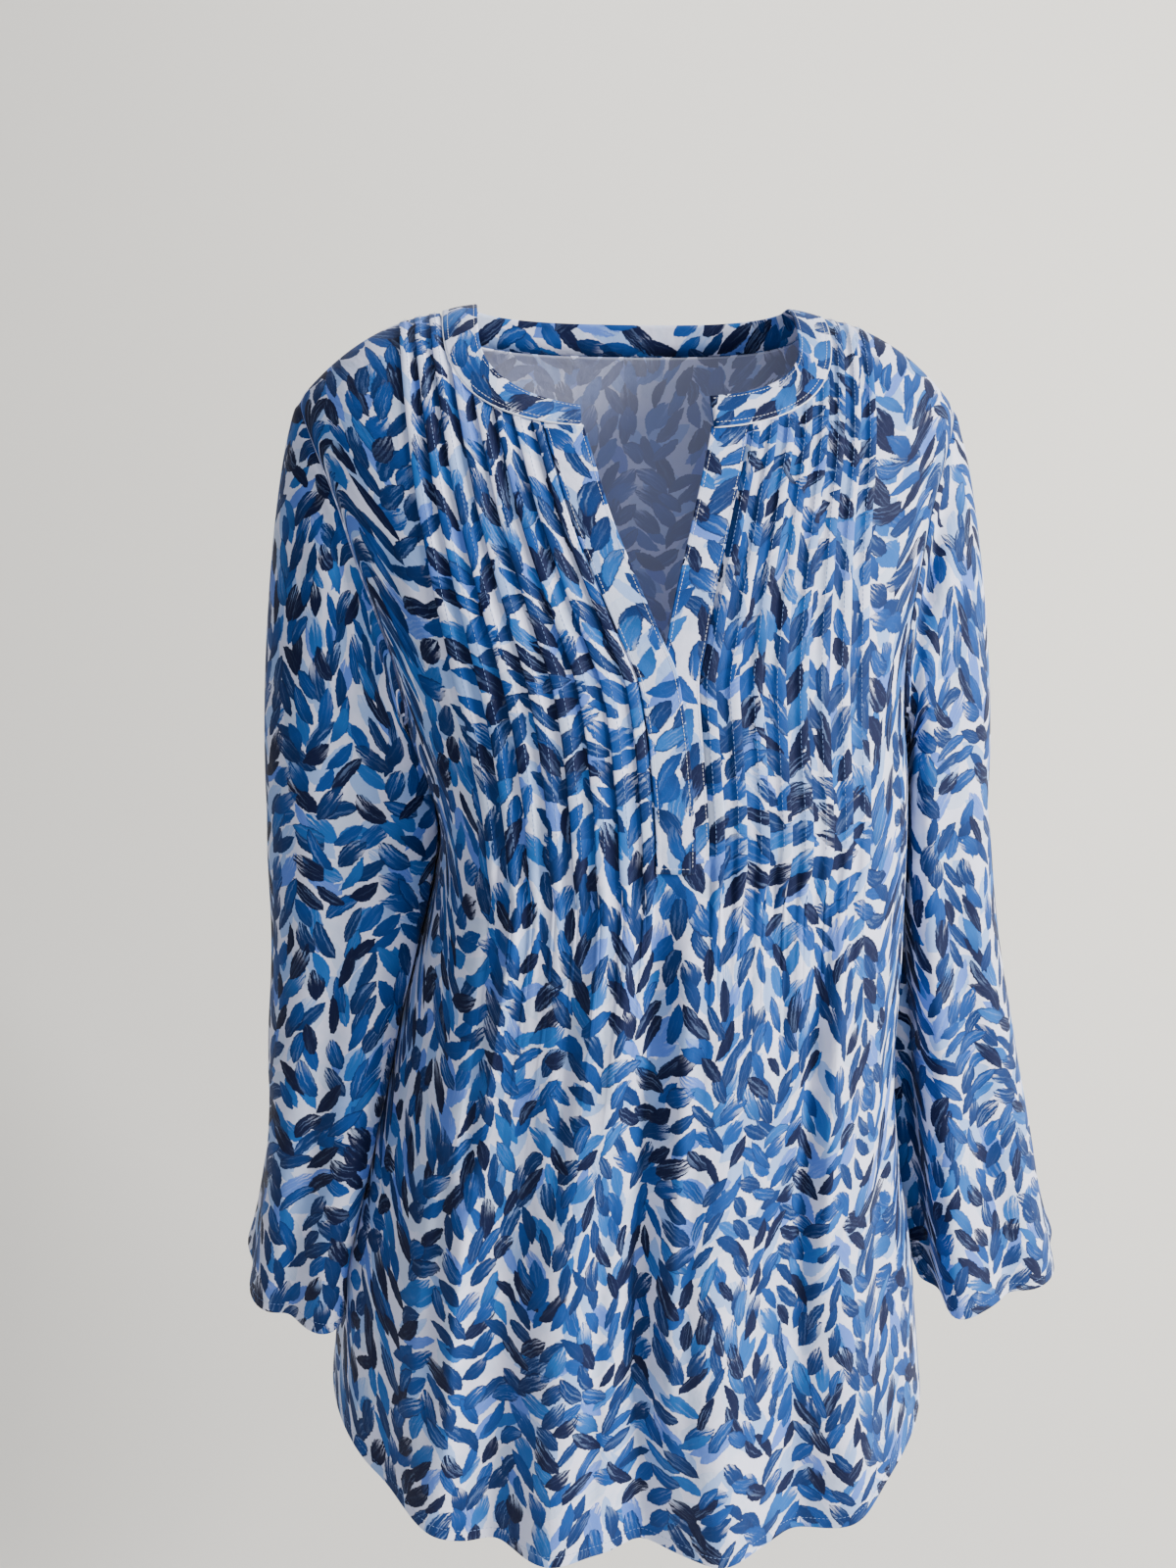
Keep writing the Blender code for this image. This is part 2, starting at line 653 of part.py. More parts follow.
make_front()
make_back()
make_sleeve("sleeve_right", 1, RIGHT_SLEEVE, RIGHT_SLEEVE_FOLDS)
make_sleeve("sleeve_left", -1, LEFT_SLEEVE, LEFT_SLEEVE_FOLDS)
make_neckband()
make_slit_band("slit_band_over", -1, OVERBAND_REACH, OVERBAND_LIFT)
make_slit_band("slit_band_under", 1, -SEAM_GAP, -CLOTH)
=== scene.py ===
from collections import namedtuple
from math import pi, radians

import bmesh
import bpy
import numpy as np
from mathutils import Matrix, Vector


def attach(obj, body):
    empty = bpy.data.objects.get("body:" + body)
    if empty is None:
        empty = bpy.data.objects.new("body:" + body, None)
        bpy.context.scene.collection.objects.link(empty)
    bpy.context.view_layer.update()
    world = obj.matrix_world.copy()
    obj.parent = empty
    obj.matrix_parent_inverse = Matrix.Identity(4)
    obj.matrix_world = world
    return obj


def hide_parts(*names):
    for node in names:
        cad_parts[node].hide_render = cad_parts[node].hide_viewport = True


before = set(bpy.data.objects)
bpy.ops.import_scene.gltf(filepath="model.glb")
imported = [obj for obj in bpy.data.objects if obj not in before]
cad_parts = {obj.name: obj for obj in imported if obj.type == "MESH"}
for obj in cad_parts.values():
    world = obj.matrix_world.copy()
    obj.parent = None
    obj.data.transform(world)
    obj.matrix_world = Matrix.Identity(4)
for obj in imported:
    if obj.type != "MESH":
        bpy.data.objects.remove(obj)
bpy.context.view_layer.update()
print("frame loaded")

# Camera at the photograph's place: it looks slightly down and to the right
cameraSetup = {
    "place": (-0.0923, -0.7448, -0.1230),
    "pitch": 12.3,
    "turn": 5.0,
    "lens": 27.05,
    "sensor": 36.0,
    "clipStart": 0.01,
}


def linkObject(name, data):
    thing = bpy.data.objects.new(name, data)
    bpy.context.scene.collection.objects.link(thing)
    return thing


cameraData = bpy.data.cameras.new("camera")
cameraData.lens = cameraSetup["lens"]
cameraData.sensor_fit = "VERTICAL"
cameraData.sensor_height = cameraSetup["sensor"]
cameraData.sensor_width = cameraSetup["sensor"]
cameraData.clip_start = cameraSetup["clipStart"]
camera = linkObject("camera", cameraData)
camera.location = cameraSetup["place"]
camera.rotation_euler = (radians(90 - cameraSetup["pitch"]), 0, radians(-cameraSetup["turn"]))
bpy.context.scene.camera = camera

# The garment's driving sizes, in metres, as the solids have them
garment = {
    "seamGap": 0.0003,
    "armholeGap": 0.0004,
    "shoulderTipX": 0.200,
    "underarmZ": -0.245,
    "releaseZ": -0.300,
    "hemZ": -0.750,
    "hemLevelReach": 0.45,
    "hemSideRise": 0.048,
    "hemBend": 1.7,
    "hemTilt": 0.010,
    "roundness": 2.5,
    "shoulderRoll": 0.100,
    "shoulderFlat": 0.090,
    "shoulderFall": 0.052,
    "shoulderBend": 2.4,
    "shoulderTopZ": 0.002,
    "sideCalm": 8,
    "slitShare": 0.10,
    "tuckShare": 0.70,
    "slitEndZ": -0.302,
    "clothThickness": 0.00042,
}
neck = {
    "halfWidth": 0.112,
    "frontDrop": 0.070,
    "backDrop": 0.018,
    "roundness": 3.0,
    "bandWidth": 0.019,
    "endX": 0.037,
    "frontTip": 0.62,
    "backTip": -0.40,
    "leftEndTip": 0.90,
    "leftEndReach": 0.90,
    "stand": 0.14,
}
tucks = {
    "count": 8,
    "pitch": 0.0126,
    "depth": 0.0060,
    "firstEdge": 0.0085,
    "step": 0.0006,
}
nearly = 1e-9
tuckSpan = tucks["firstEdge"] + tucks["pitch"] * (tucks["count"] - 1) + tucks["step"]
hemZ, releaseZ, underarmZ = garment["hemZ"], garment["releaseZ"], garment["underarmZ"]
slitShare, tuckShare = garment["slitShare"], garment["tuckShare"]
shoulderTipX, roundness = garment["shoulderTipX"], garment["roundness"]


def table(kind, rows):
    return [kind(*row) for row in rows]


Body = namedtuple("Body", "height halfWidth front back lean")
bodyRows = table(Body, [
    (0.020, 0.225, 0.050, 0.062, 0.000),
    (-0.050, 0.214, 0.068, 0.080, 0.000),
    (-0.100, 0.197, 0.086, 0.094, 0.000),
    (-0.150, 0.182, 0.103, 0.104, 0.002),
    (-0.200, 0.168, 0.121, 0.107, 0.006),
    (-0.245, 0.160, 0.131, 0.103, 0.010),
    (-0.300, 0.161, 0.136, 0.097, 0.013),
    (-0.380, 0.164, 0.134, 0.092, 0.012),
    (-0.460, 0.168, 0.131, 0.094, 0.008),
    (-0.550, 0.184, 0.130, 0.103, 0.002),
    (-0.600, 0.196, 0.130, 0.108, 0.000),
    (-0.650, 0.202, 0.131, 0.111, 0.000),
    (-0.780, 0.218, 0.134, 0.112, 0.000),
])
# The body's left side draws in below the armhole, the most at its edge
drawInBend = 4
DrawIn = namedtuple("DrawIn", "height left")
drawInRows = table(DrawIn, [
    (-0.200, 0.000),
    (-0.245, 0.008),
    (-0.280, 0.020),
    (-0.310, 0.026),
    (-0.345, 0.022),
    (-0.380, 0.014),
    (-0.430, 0.005),
    (-0.500, 0.000),
])
Front = namedtuple("Front", "height slit lastTuck")
frontRows = table(Front, [
    (0.010, 0.074, 0.140),
    (-0.060, 0.059, 0.134),
    (-0.095, 0.050, 0.130),
    (-0.127, 0.041, 0.126),
    (-0.160, 0.030, 0.122),
    (-0.182, 0.023, 0.119),
    (-0.208, 0.0155, 0.116),
    (-0.240, 0.0142, 0.113),
    (-0.302, 0.0140, 0.112),
    (-0.450, 0.0165, 0.122),
    (-0.780, 0.0240, 0.158),
])
Armhole = namedtuple("Armhole", "share front back")
armholeRows = table(Armhole, [
    (0.00, 0.200, 0.200),
    (0.16, 0.187, 0.193),
    (0.31, 0.175, 0.181),
    (0.48, 0.166, 0.172),
    (0.65, 0.156, 0.163),
    (0.79, 0.150, 0.157),
    (0.90, 0.1505, 0.156),
    (1.00, 0.160, 0.160),
])

# Broad folds run down from their start; a ridge stands out, a valley is negative
Fold = namedtuple("Fold", "topX hemX halfWidth depth start")
frontFolds = table(Fold, [
    (0.014, 0.045, 0.022, 0.014, -0.300),
    (-0.012, -0.006, 0.017, -0.011, -0.310),
    (-0.045, -0.064, 0.021, 0.011, -0.320),
    (-0.074, -0.096, 0.014, -0.009, -0.330),
    (-0.112, -0.138, 0.018, 0.010, -0.235),
    (-0.140, -0.170, 0.012, -0.005, -0.260),
    (0.066, 0.096, 0.016, -0.009, -0.330),
    (0.096, 0.138, 0.020, 0.010, -0.320),
])
backFolds = table(Fold, [
    (-0.105, -0.135, 0.019, 0.009, -0.220),
    (-0.072, -0.095, 0.016, -0.008, -0.300),
    (-0.035, -0.052, 0.021, 0.010, -0.260),
    (0.000, -0.008, 0.017, -0.009, -0.330),
    (0.036, 0.040, 0.020, 0.010, -0.280),
    (0.068, 0.085, 0.016, -0.008, -0.300),
    (0.104, 0.132, 0.019, 0.009, -0.220),
])
# Short creases lie along a line from one point to another, in X and Z
Crease = namedtuple("Crease", "fromX fromZ toX toZ halfWidth depth")
frontCreases = table(Crease, [
    (-0.160, -0.135, -0.132, -0.225, 0.0040, 0.0024),
    (-0.152, -0.120, -0.124, -0.235, 0.0045, -0.0026),
    (-0.142, -0.140, -0.112, -0.250, 0.0050, 0.0022),
    (-0.146, -0.250, -0.116, -0.285, 0.0040, 0.0034),
    (-0.150, -0.272, -0.120, -0.300, 0.0040, -0.0030),
    (-0.148, -0.288, -0.122, -0.322, 0.0045, 0.0026),
    (0.168, -0.050, 0.158, -0.150, 0.0050, -0.0034),
    (0.160, -0.070, 0.150, -0.190, 0.0060, 0.0028),
    (0.168, -0.225, 0.140, -0.300, 0.0060, 0.0030),
    (0.002, -0.300, 0.012, -0.730, 0.0065, 0.0058),
    (-0.013, -0.305, -0.004, -0.745, 0.0060, -0.0075),
    (-0.028, -0.320, -0.036, -0.480, 0.0060, 0.0034),
    (-0.058, -0.350, -0.064, -0.520, 0.0050, -0.0046),
    (-0.040, -0.300, -0.052, -0.420, 0.0050, 0.0026),
    (-0.030, -0.480, -0.038, -0.740, 0.0060, -0.0034),
    (0.050, -0.300, 0.066, -0.440, 0.0055, -0.0034),
    (0.080, -0.305, 0.096, -0.640, 0.0055, -0.0060),
    (0.092, -0.320, 0.108, -0.600, 0.0060, 0.0040),
    (0.140, -0.330, 0.152, -0.640, 0.0060, -0.0048),
    (-0.090, -0.300, -0.112, -0.470, 0.0055, 0.0036),
    (-0.103, -0.310, -0.118, -0.520, 0.0050, -0.0062),
    (-0.112, -0.500, -0.126, -0.700, 0.0055, 0.0040),
    (-0.124, -0.470, -0.140, -0.690, 0.0050, -0.0058),
])
backCreases = table(Crease, [
    (-0.150, -0.130, -0.110, -0.240, 0.0060, 0.0024),
    (0.150, -0.130, 0.110, -0.240, 0.0060, 0.0024),
    (-0.060, -0.060, -0.090, -0.220, 0.0090, 0.0020),
    (0.060, -0.060, 0.090, -0.220, 0.0090, 0.0020),
])
frontSide, backSide = -1, 1
foldsOf = {frontSide: frontFolds, backSide: backFolds}
creasesOf = {frontSide: frontCreases, backSide: backCreases}


def clamp(value):
    return np.clip(value, 0.0, 1.0)


def ease(value):
    share = clamp(value)
    return share * share * (3 - 2 * share)


def smoothCurve(rows, along, value):
    # smooth function through two columns of a table, with no overshoot
    pairs = sorted((getattr(row, along), getattr(row, value)) for row in rows)
    places, values = np.array(pairs, float).T
    rises = np.diff(values) / np.diff(places)
    slopes = np.concatenate([rises[:1], np.zeros(len(rises) - 1), rises[-1:]])
    for i in range(1, len(rises)):
        if rises[i - 1] * rises[i] > 0:
            slopes[i] = 2 * rises[i - 1] * rises[i] / (rises[i - 1] + rises[i])

    def at(place):
        place = np.clip(place, places[0], places[-1])
        i = np.clip(np.searchsorted(places, place, side="right") - 1, 0, len(rises) - 1)
        span = places[i + 1] - places[i]
        t = (place - places[i]) / span
        lead = span * t * (1 - t) * ((1 - t) * slopes[i] - t * slopes[i + 1])
        return values[i] + (values[i + 1] - values[i]) * t * t * (3 - 2 * t) + lead

    return at


halfWidth = smoothCurve(bodyRows, "height", "halfWidth")
lean = smoothCurve(bodyRows, "height", "lean")
drawIn = smoothCurve(drawInRows, "height", "left")
slitEdge = smoothCurve(frontRows, "height", "slit")
lastTuck = smoothCurve(frontRows, "height", "lastTuck")
depthOf = {
    frontSide: smoothCurve(bodyRows, "height", "front"),
    backSide: smoothCurve(bodyRows, "height", "back"),
}
armholeEdge = {
    frontSide: smoothCurve(armholeRows, "share", "front"),
    backSide: smoothCurve(armholeRows, "share", "back"),
}


def unit(vectors):
    return vectors / np.maximum(np.linalg.norm(vectors, axis=-1, keepdims=True), 1e-12)


def rumple(across, down, size, shift):
    # gentle unevenness of hanging cloth, between about -1 and 1
    a, d = across / size, down / size
    waves = np.sin(2.1 * a + 1.3 * np.sin(1.7 * d + shift))
    waves = waves + np.sin(1.6 * d + 2.3 * np.sin(1.2 * a - shift))
    return (waves + 0.6 * np.sin(3.7 * a - 2.9 * d + shift)) / 2.6


def shoulderHeight(x):
    out = np.maximum(0, np.abs(x) - garment["shoulderFlat"])
    out = out / (shoulderTipX - garment["shoulderFlat"])
    return garment["shoulderTopZ"] - garment["shoulderFall"] * out ** garment["shoulderBend"]


def bodyDepth(x, height, side):
    reach = clamp(np.abs(x) / halfWidth(height))
    depth = depthOf[side](height) * (1 - reach ** roundness) ** (1 / roundness)
    drop = clamp((shoulderHeight(x) - height) / garment["shoulderRoll"])
    return depth * np.sqrt(1 - (1 - drop) ** 2)


foldGrowth = 0.8


def foldDepth(folds, x, height):
    total = 0.0
    for fold in folds:
        grown = clamp((fold.start - height) / (fold.start - hemZ))
        middle = fold.topX + (fold.hemX - fold.topX) * grown
        total = total + fold.depth * grown ** foldGrowth * np.exp(-(((x - middle) / fold.halfWidth) ** 2))
    return total


# A crease comes up over its first third and dies away over its last
creaseEnds = {"rate": 2.5, "lead": 0.2}


def creaseDepth(creases, x, height):
    rate, lead = creaseEnds["rate"], creaseEnds["lead"]
    total = 0.0
    for crease in creases:
        wayX, wayZ = crease.toX - crease.fromX, crease.toZ - crease.fromZ
        length = np.hypot(wayX, wayZ)
        share = ((x - crease.fromX) * wayX + (height - crease.fromZ) * wayZ) / length ** 2
        off = ((x - crease.fromX) * wayZ - (height - crease.fromZ) * wayX) / length
        ends = ease(share * rate + lead) * ease((1 - share) * rate + lead)
        total = total + crease.depth * ends * np.exp(-((off / crease.halfWidth) ** 2))
    return total


def sideShift(x, height):
    reach = clamp(-x / halfWidth(height))
    return lean(height) + drawIn(height) * reach ** drawInBend


# Unevenness of the cloth below the shoulders
unevenness = {"fromZ": -0.05, "over": 0.10, "depth": 0.0009, "size": 0.022}


def bodyPoint(x, height, side):
    depth = bodyDepth(x, height, side)
    calm = 1 - clamp(np.abs(x) / halfWidth(height)) ** garment["sideCalm"]
    shape = foldDepth(foldsOf[side], x, height) + creaseDepth(creasesOf[side], x, height)
    low = ease((unevenness["fromZ"] - height) / unevenness["over"])
    shape = shape + unevenness["depth"] * low * rumple(x, height, unevenness["size"], side)
    depth = depth + shape * calm + garment["seamGap"] / 2
    return np.stack([x + sideShift(x, height), side * depth, height], axis=-1)


def bodyNormal(x, height, side):
    step = 0.0008
    across = bodyPoint(x + step, height, side) - bodyPoint(x - step, height, side)
    upward = bodyPoint(x, height + step, side) - bodyPoint(x, height - step, side)
    return unit(np.cross(across, upward) * -side)


def railShares(share):
    # how much of the slit, last tuck and side rails a plain column takes
    if share <= slitShare:
        return share / slitShare, 0.0, 0.0
    if share <= tuckShare:
        way = (share - slitShare) / (tuckShare - slitShare)
        return 1 - way, way, 0.0
    out = np.sin((share - tuckShare) / (1 - tuckShare) * pi / 2)
    return 0.0, 1 - out, out


def straightShares(share):
    # the same without a slit, for the back
    if share <= tuckShare:
        return 0.0, share / tuckShare, 0.0
    return railShares(share)


def neckHeight(x, side):
    drop = neck["frontDrop"] if side == frontSide else neck["backDrop"]
    reach = clamp(np.abs(x) / neck["halfWidth"])
    low = (1 - reach ** neck["roundness"]) ** (1 / neck["roundness"])
    return shoulderHeight(neck["halfWidth"]) - drop * low


def columnX(rails, hand, height, end):
    return hand * (rails[:, 0] * slitEdge(height) + rails[:, 1] * lastTuck(height) + rails[:, 2] * end)


topSearch = {"from": -0.15, "margin": 0.001, "halvings": 40}


def topHeight(rails, side):
    # height at which a column meets the shoulder or the neck seam
    low = np.full(rails.shape[0], topSearch["from"])
    high = np.full(rails.shape[0], garment["shoulderTopZ"] + topSearch["margin"])
    for _ in range(topSearch["halvings"]):
        middle = (low + high) / 2
        x = columnX(rails, 1, middle, shoulderTipX)
        line = shoulderHeight(x)
        line = np.where(x < neck["halfWidth"], np.minimum(line, neckHeight(x, side)), line)
        low, high = np.where(middle < line, middle, low), np.where(middle < line, high, middle)
    return (low + high) / 2


def hemHeight(share, hand, rails):
    sideX = halfWidth(hemZ)
    reach = columnX(rails, 1, hemZ, sideX) / sideX
    rise = clamp((reach - garment["hemLevelReach"]) / (1 - garment["hemLevelReach"]))
    rise = garment["hemSideRise"] * rise ** garment["hemBend"]
    return hemZ - garment["hemTilt"] * share * hand + rise


seamDip = {"depth": 0.0012, "width": 0.0030}

# Turned hem: height above the hem's edge and depth behind the outer face
hemTurn = [
    (0.0012, 0.0), (0.0004, 0.00008), (0.0, 0.0004), (0.0005, 0.0008), (0.0040, 0.0010), (0.0080, 0.0010),
]
# Rows crowd towards the top, tucks flatten at the top seam and open below the stitching
panelShape = {
    "crowding": 1.25, "flattened": 0.8, "flatReach": 0.006, "openOver": 0.035,
    "ridgeRise": 0.012, "ridgeFade": 0.045,
}


def gather(columns, key):
    return np.array([column[key] for column in columns])


def panelPoints(side, columns, upperRows, lowerRows):
    # one sheet of points, row by row from the top seam to the inside of the turned hem
    share, hand, lift, ridge, folded, opened = (
        gather(columns, key) for key in ("share", "hand", "lift", "ridge", "folded", "opened")
    )
    top = topHeight(folded, side)
    hem = hemHeight(share, hand, opened)
    middle = releaseZ + (underarmZ - releaseZ) * ease((share - tuckShare) / (1 - tuckShare))
    points = []
    for down in np.linspace(0, 1, upperRows + 1) ** panelShape["crowding"]:
        height = top + (middle - top) * down
        end = np.full(len(share), float(armholeEdge[side](down)))
        near = np.exp(-(((top - height) / panelShape["flatReach"]) ** 2))
        flat = 1 - panelShape["flattened"] * near
        # the cloth dips into the armhole seam
        x = columnX(folded, hand, height, end)
        curl = seamDip["depth"] * np.exp(-(((end - np.abs(x)) / seamDip["width"]) ** 2))
        points.append(columnPoints(side, folded, hand, height, end, lift * flat - curl))
    for down in np.linspace(0, 1, lowerRows + 1)[1:]:
        height = middle + (hem + hemTurn[0][0] - middle) * down
        loose = ease((releaseZ - height) / panelShape["openOver"])[:, None]
        rails = folded * (1 - loose) + opened * loose
        # below the stitching each tuck opens into a soft ridge that dies away
        below = np.maximum(0, releaseZ - height)
        fullness = ridge * ease(below / panelShape["ridgeRise"]) * np.exp(-below / panelShape["ridgeFade"])
        stand = lift * (1 - loose[:, 0]) + fullness
        points.append(columnPoints(side, rails, hand, height, halfWidth(height), stand))
    for rise, inset in hemTurn[1:]:
        height = hem + rise
        stand = np.full(len(share), -inset)
        points.append(columnPoints(side, opened, hand, height, halfWidth(height), stand))
    return np.array(points)


def columnPoints(side, rails, hand, height, end, lift):
    x = columnX(rails, hand, height, end)
    return bodyPoint(x, height, side) + bodyNormal(x, height, side) * lift[:, None]


def plainColumn(share, hand, sharesOf=railShares):
    rails = sharesOf(share)
    plain = {"lift": 0.0, "ridge": 0.0, "cut": 1.0}
    return {"share": share, "hand": hand, "folded": rails, "opened": rails, **plain}


# Section of one tuck in millimetres: way from the stitching, lift, and cloth that shows
tuckSection = [
    (-0.9, 0.0, 1), (0.0, 0.95, 1), (1.2, 1.55, 1), (3.2, 1.85, 1), (5.2, 1.85, 1), (5.9, 1.60, 1),
    (6.05, 1.20, 0.5), (5.85, 0.75, 0.5), (4.6, 0.50, 0.5), (0.8, 0.50, 0.5), (0.3, 0.25, 0.5),
    (0.8, 0.0, 0.5), (5.0, -0.05, 0.5), (7.2, -0.05, 1), (9.6, 0.0, 1),
]
# Ridges that the tucks let go, in metres; the ridge's width in millimetres
released = {"ridge": 0.0022, "between": -0.0006, "width": 8, "spare": 0.0015}
frontGrid = {"slitColumns": 5, "sideColumns": 26}


def stitchPlace(k):
    return tucks["firstEdge"] - tucks["depth"] + tucks["pitch"] * k


def halfFrontColumns(hand):
    slitColumns, sideColumns = frontGrid["slitColumns"], frontGrid["sideColumns"]
    columns = [plainColumn(slitShare * i / slitColumns, hand) for i in range(1, slitColumns + 1)]
    distances, cuts = [], [0.0]
    for k in range(tucks["count"]):
        stitch = stitchPlace(k)
        for way, lift, shows in tuckSection:
            distance = stitch + way / 1000
            if distance < tuckSpan:
                last = distances[-1][0] if distances else 0.0
                cuts.append(cuts[-1] + abs(distance - last) * shows)
                ridge = released["between"]
                if lift > 0.01:
                    ridge = released["ridge"] * np.sin(clamp((way + 1) / released["width"]) * pi)
                distances.append((distance, lift / 1000, ridge, shows))
    openLength = cuts[-1] + released["spare"]
    for (distance, lift, ridge, shows), cut in zip(distances, cuts[1:]):
        way, openWay = distance / tuckSpan, cut / openLength
        share = slitShare + (tuckShare - slitShare) * openWay
        columns.append({
            "share": share, "hand": hand, "lift": lift, "ridge": ridge, "cut": shows,
            "folded": (1 - way, way, 0.0), "opened": (1 - openWay, openWay, 0.0),
        })
    for i in range(1, sideColumns + 1):
        columns.append(plainColumn(tuckShare + (1 - tuckShare) * i / sideColumns, hand))
    return columns


def cutMap(points, middleColumn, zeroRow, place, held=None):
    # coordinates on the cut piece in metres: across along each row, down along each column
    across = np.linalg.norm(np.diff(points, axis=1), axis=2)
    if held is not None:
        # between the slit and the last tuck every row keeps the widths it has where the tucks end
        weights, inTucks, inSlit = held
        own = np.arange(len(across))[:, None] > zeroRow
        across = np.where(inTucks & ~(inSlit & own), across[zeroRow] * weights, across)
    across = np.hstack([np.zeros((len(across), 1)), np.cumsum(across, axis=1)])
    across = across - across[:, middleColumn:middleColumn + 1]
    down = np.linalg.norm(np.diff(points, axis=0), axis=2)
    down = np.vstack([np.zeros(points.shape[1]), np.cumsum(down, axis=0)])
    down = down - down[zeroRow]
    return np.stack([place[0] + across, place[1] - down], axis=-1)


joinDistance = 0.00001


def gridMesh(points, cut):
    # a grid moved into place, with its cut coordinates as its UV map
    down, across = points.shape[0] - 1, points.shape[1] - 1
    bm = bmesh.new()
    bmesh.ops.create_grid(bm, x_segments=across, y_segments=down, size=1.0)
    layer = bm.loops.layers.uv.new("cut")
    spots = {}
    for vert in bm.verts:
        spots[vert] = (round((1 - vert.co.y) / 2 * down), round((vert.co.x + 1) / 2 * across))
        vert.co = points[spots[vert]]
    for face in bm.faces:
        for loop in face.loops:
            loop[layer].uv = cut[spots[loop.vert]]
    return bm, spots, layer


def makeSheet(name, points, cut, dropped=None, joined=False):
    bm, spots, _ = gridMesh(points, cut)
    if dropped is not None:
        loose = [face for face in bm.faces if all(dropped[spots[vert]] for vert in face.verts)]
        bmesh.ops.delete(bm, geom=loose, context="FACES")
    if joined:
        bmesh.ops.remove_doubles(bm, verts=bm.verts[:], dist=2 * joinDistance)
    return finishPiece(name, bm)


def finishPiece(name, bm):
    for face in bm.faces:
        face.smooth = True
    mesh = bpy.data.meshes.new(name)
    bm.to_mesh(mesh)
    bm.free()
    return linkObject(name, mesh)


def thicken(piece, thickness):
    shell = piece.modifiers.new("cloth", "SOLIDIFY")
    shell.thickness = thickness
    shell.offset = -1.0
    shell.use_even_offset = False
    shell.material_offset = 1


def tone(code):
    # a colour written as red, green and blue in hexadecimal, made linear as sRGB says
    parts = [int(code[i:i + 2], 16) / 255 for i in (0, 2, 4)]
    linear = [part / 12.92 if part <= 0.04045 else ((part + 0.055) / 1.055) ** 2.4 for part in parts]
    return (*linear, 1.0)


class NodeBench:
    # short ways to add and join shader nodes in one tree
    def __init__(self, tree):
        self.tree = tree

    def add(self, kind, inputs=None, **settings):
        node = self.tree.nodes.new(kind)
        for key, value in settings.items():
            setattr(node, key, value)
        for key, value in (inputs or {}).items():
            self.feed(node.inputs[key], value)
        return node

    def feed(self, socket, value):
        if isinstance(value, bpy.types.NodeSocket):
            self.tree.links.new(value, socket)
        else:
            socket.default_value = value

    def math(self, operation, *values, kind="ShaderNodeMath"):
        return self.add(kind, dict(enumerate(values)), operation=operation).outputs[0]

    def times(self, *values):
        return self.math("MULTIPLY", *values)

    def vector(self, operation, *values):
        return self.math(operation, *values, kind="ShaderNodeVectorMath")

    def scaled(self, vector, factor):
        inputs = {"Vector": vector, "Scale": factor}
        return self.add("ShaderNodeVectorMath", inputs, operation="SCALE").outputs[0]

    def split(self, vector):
        return self.add("ShaderNodeSeparateXYZ", {0: vector}).outputs

    def between(self, value, low, high, toLow=0.0, toHigh=1.0):
        inputs = {"Value": value, "From Min": low, "From Max": high, "To Min": toLow, "To Max": toHigh}
        return self.add("ShaderNodeMapRange", inputs, interpolation_type="SMOOTHSTEP").outputs[0]

    def texture(self, vector, scale, detail):
        inputs = {"Vector": vector, "Scale": scale, "Detail": detail}
        return self.add("ShaderNodeTexNoise", inputs).outputs

    def noise(self, vector, seed):
        inputs = {"Vector": vector, "W": seed}
        return self.add("ShaderNodeTexWhiteNoise", inputs, noise_dimensions="4D").outputs

    def steps(self, value, choices):
        # flat colours, each over its share of the range from 0 to 1
        node = self.add("ShaderNodeValToRGB", {"Fac": value})
        ramp, edge = node.color_ramp, 0.0
        ramp.interpolation = "CONSTANT"
        ramp.elements.remove(ramp.elements[-1])
        for index, (colour, share) in enumerate(choices):
            stop = ramp.elements[0] if index == 0 else ramp.elements.new(edge)
            stop.position, stop.color = edge, colour
            edge += share
        return node.outputs[0]

    def blend(self, share, first, second):
        node = self.add("ShaderNodeMix", data_type="RGBA")
        self.feed(node.inputs["Factor"], share)
        self.feed(node.inputs[6], first)
        self.feed(node.inputs[7], second)
        return node.outputs[2]


# Leaves stand in cells, off their middle by chance, and lean to both sides of wavering spines
sprays = {
    "jitter": 0.34, "spacing": 0.056, "lean": 0.66, "leanSwing": 0.30, "spread": 0.7, "seedStep": 31.7,
    "drift": 0.013, "driftTurns": 21.0, "driftStart": 1.3, "ripple": 0.006, "rippleTurns": (33.0, 47.0),
    "swingTurns": (13.0, 29.0),
}
# A leaf's half sizes as shares of its layer's, its bend in metres, and its brush marks
leafShape = {
    "halfLength": 0.36, "longer": 0.22, "halfWidth": 0.36, "wider": 0.28, "bend": 0.006,
    "blunt": 0.9, "blunter": 0.7, "edge": 0.10, "marksAlong": 55.0, "marksAcross": 800.0, "marksApart": 40.0,
}
# Brush effects: where each sets in and is full, and then its least and its full strength
brush = {
    "dryTip": (-0.1, 1.0), "dryLeaves": (0.6, 0.85), "dryMarks": (0.45, 0.60), "dryness": 0.9,
    "clouds": (0.45, 0.66, 0.0, 0.6), "streaks": (0.50, 0.72), "streaky": (0.2, 0.9, 0.04, 0.30),
    "wetEdge": (0.36, 0.05), "wet": (0.35, 0.6, 0.15, 0.8), "foot": (0.3, -1.0, 0.0, 0.45),
}


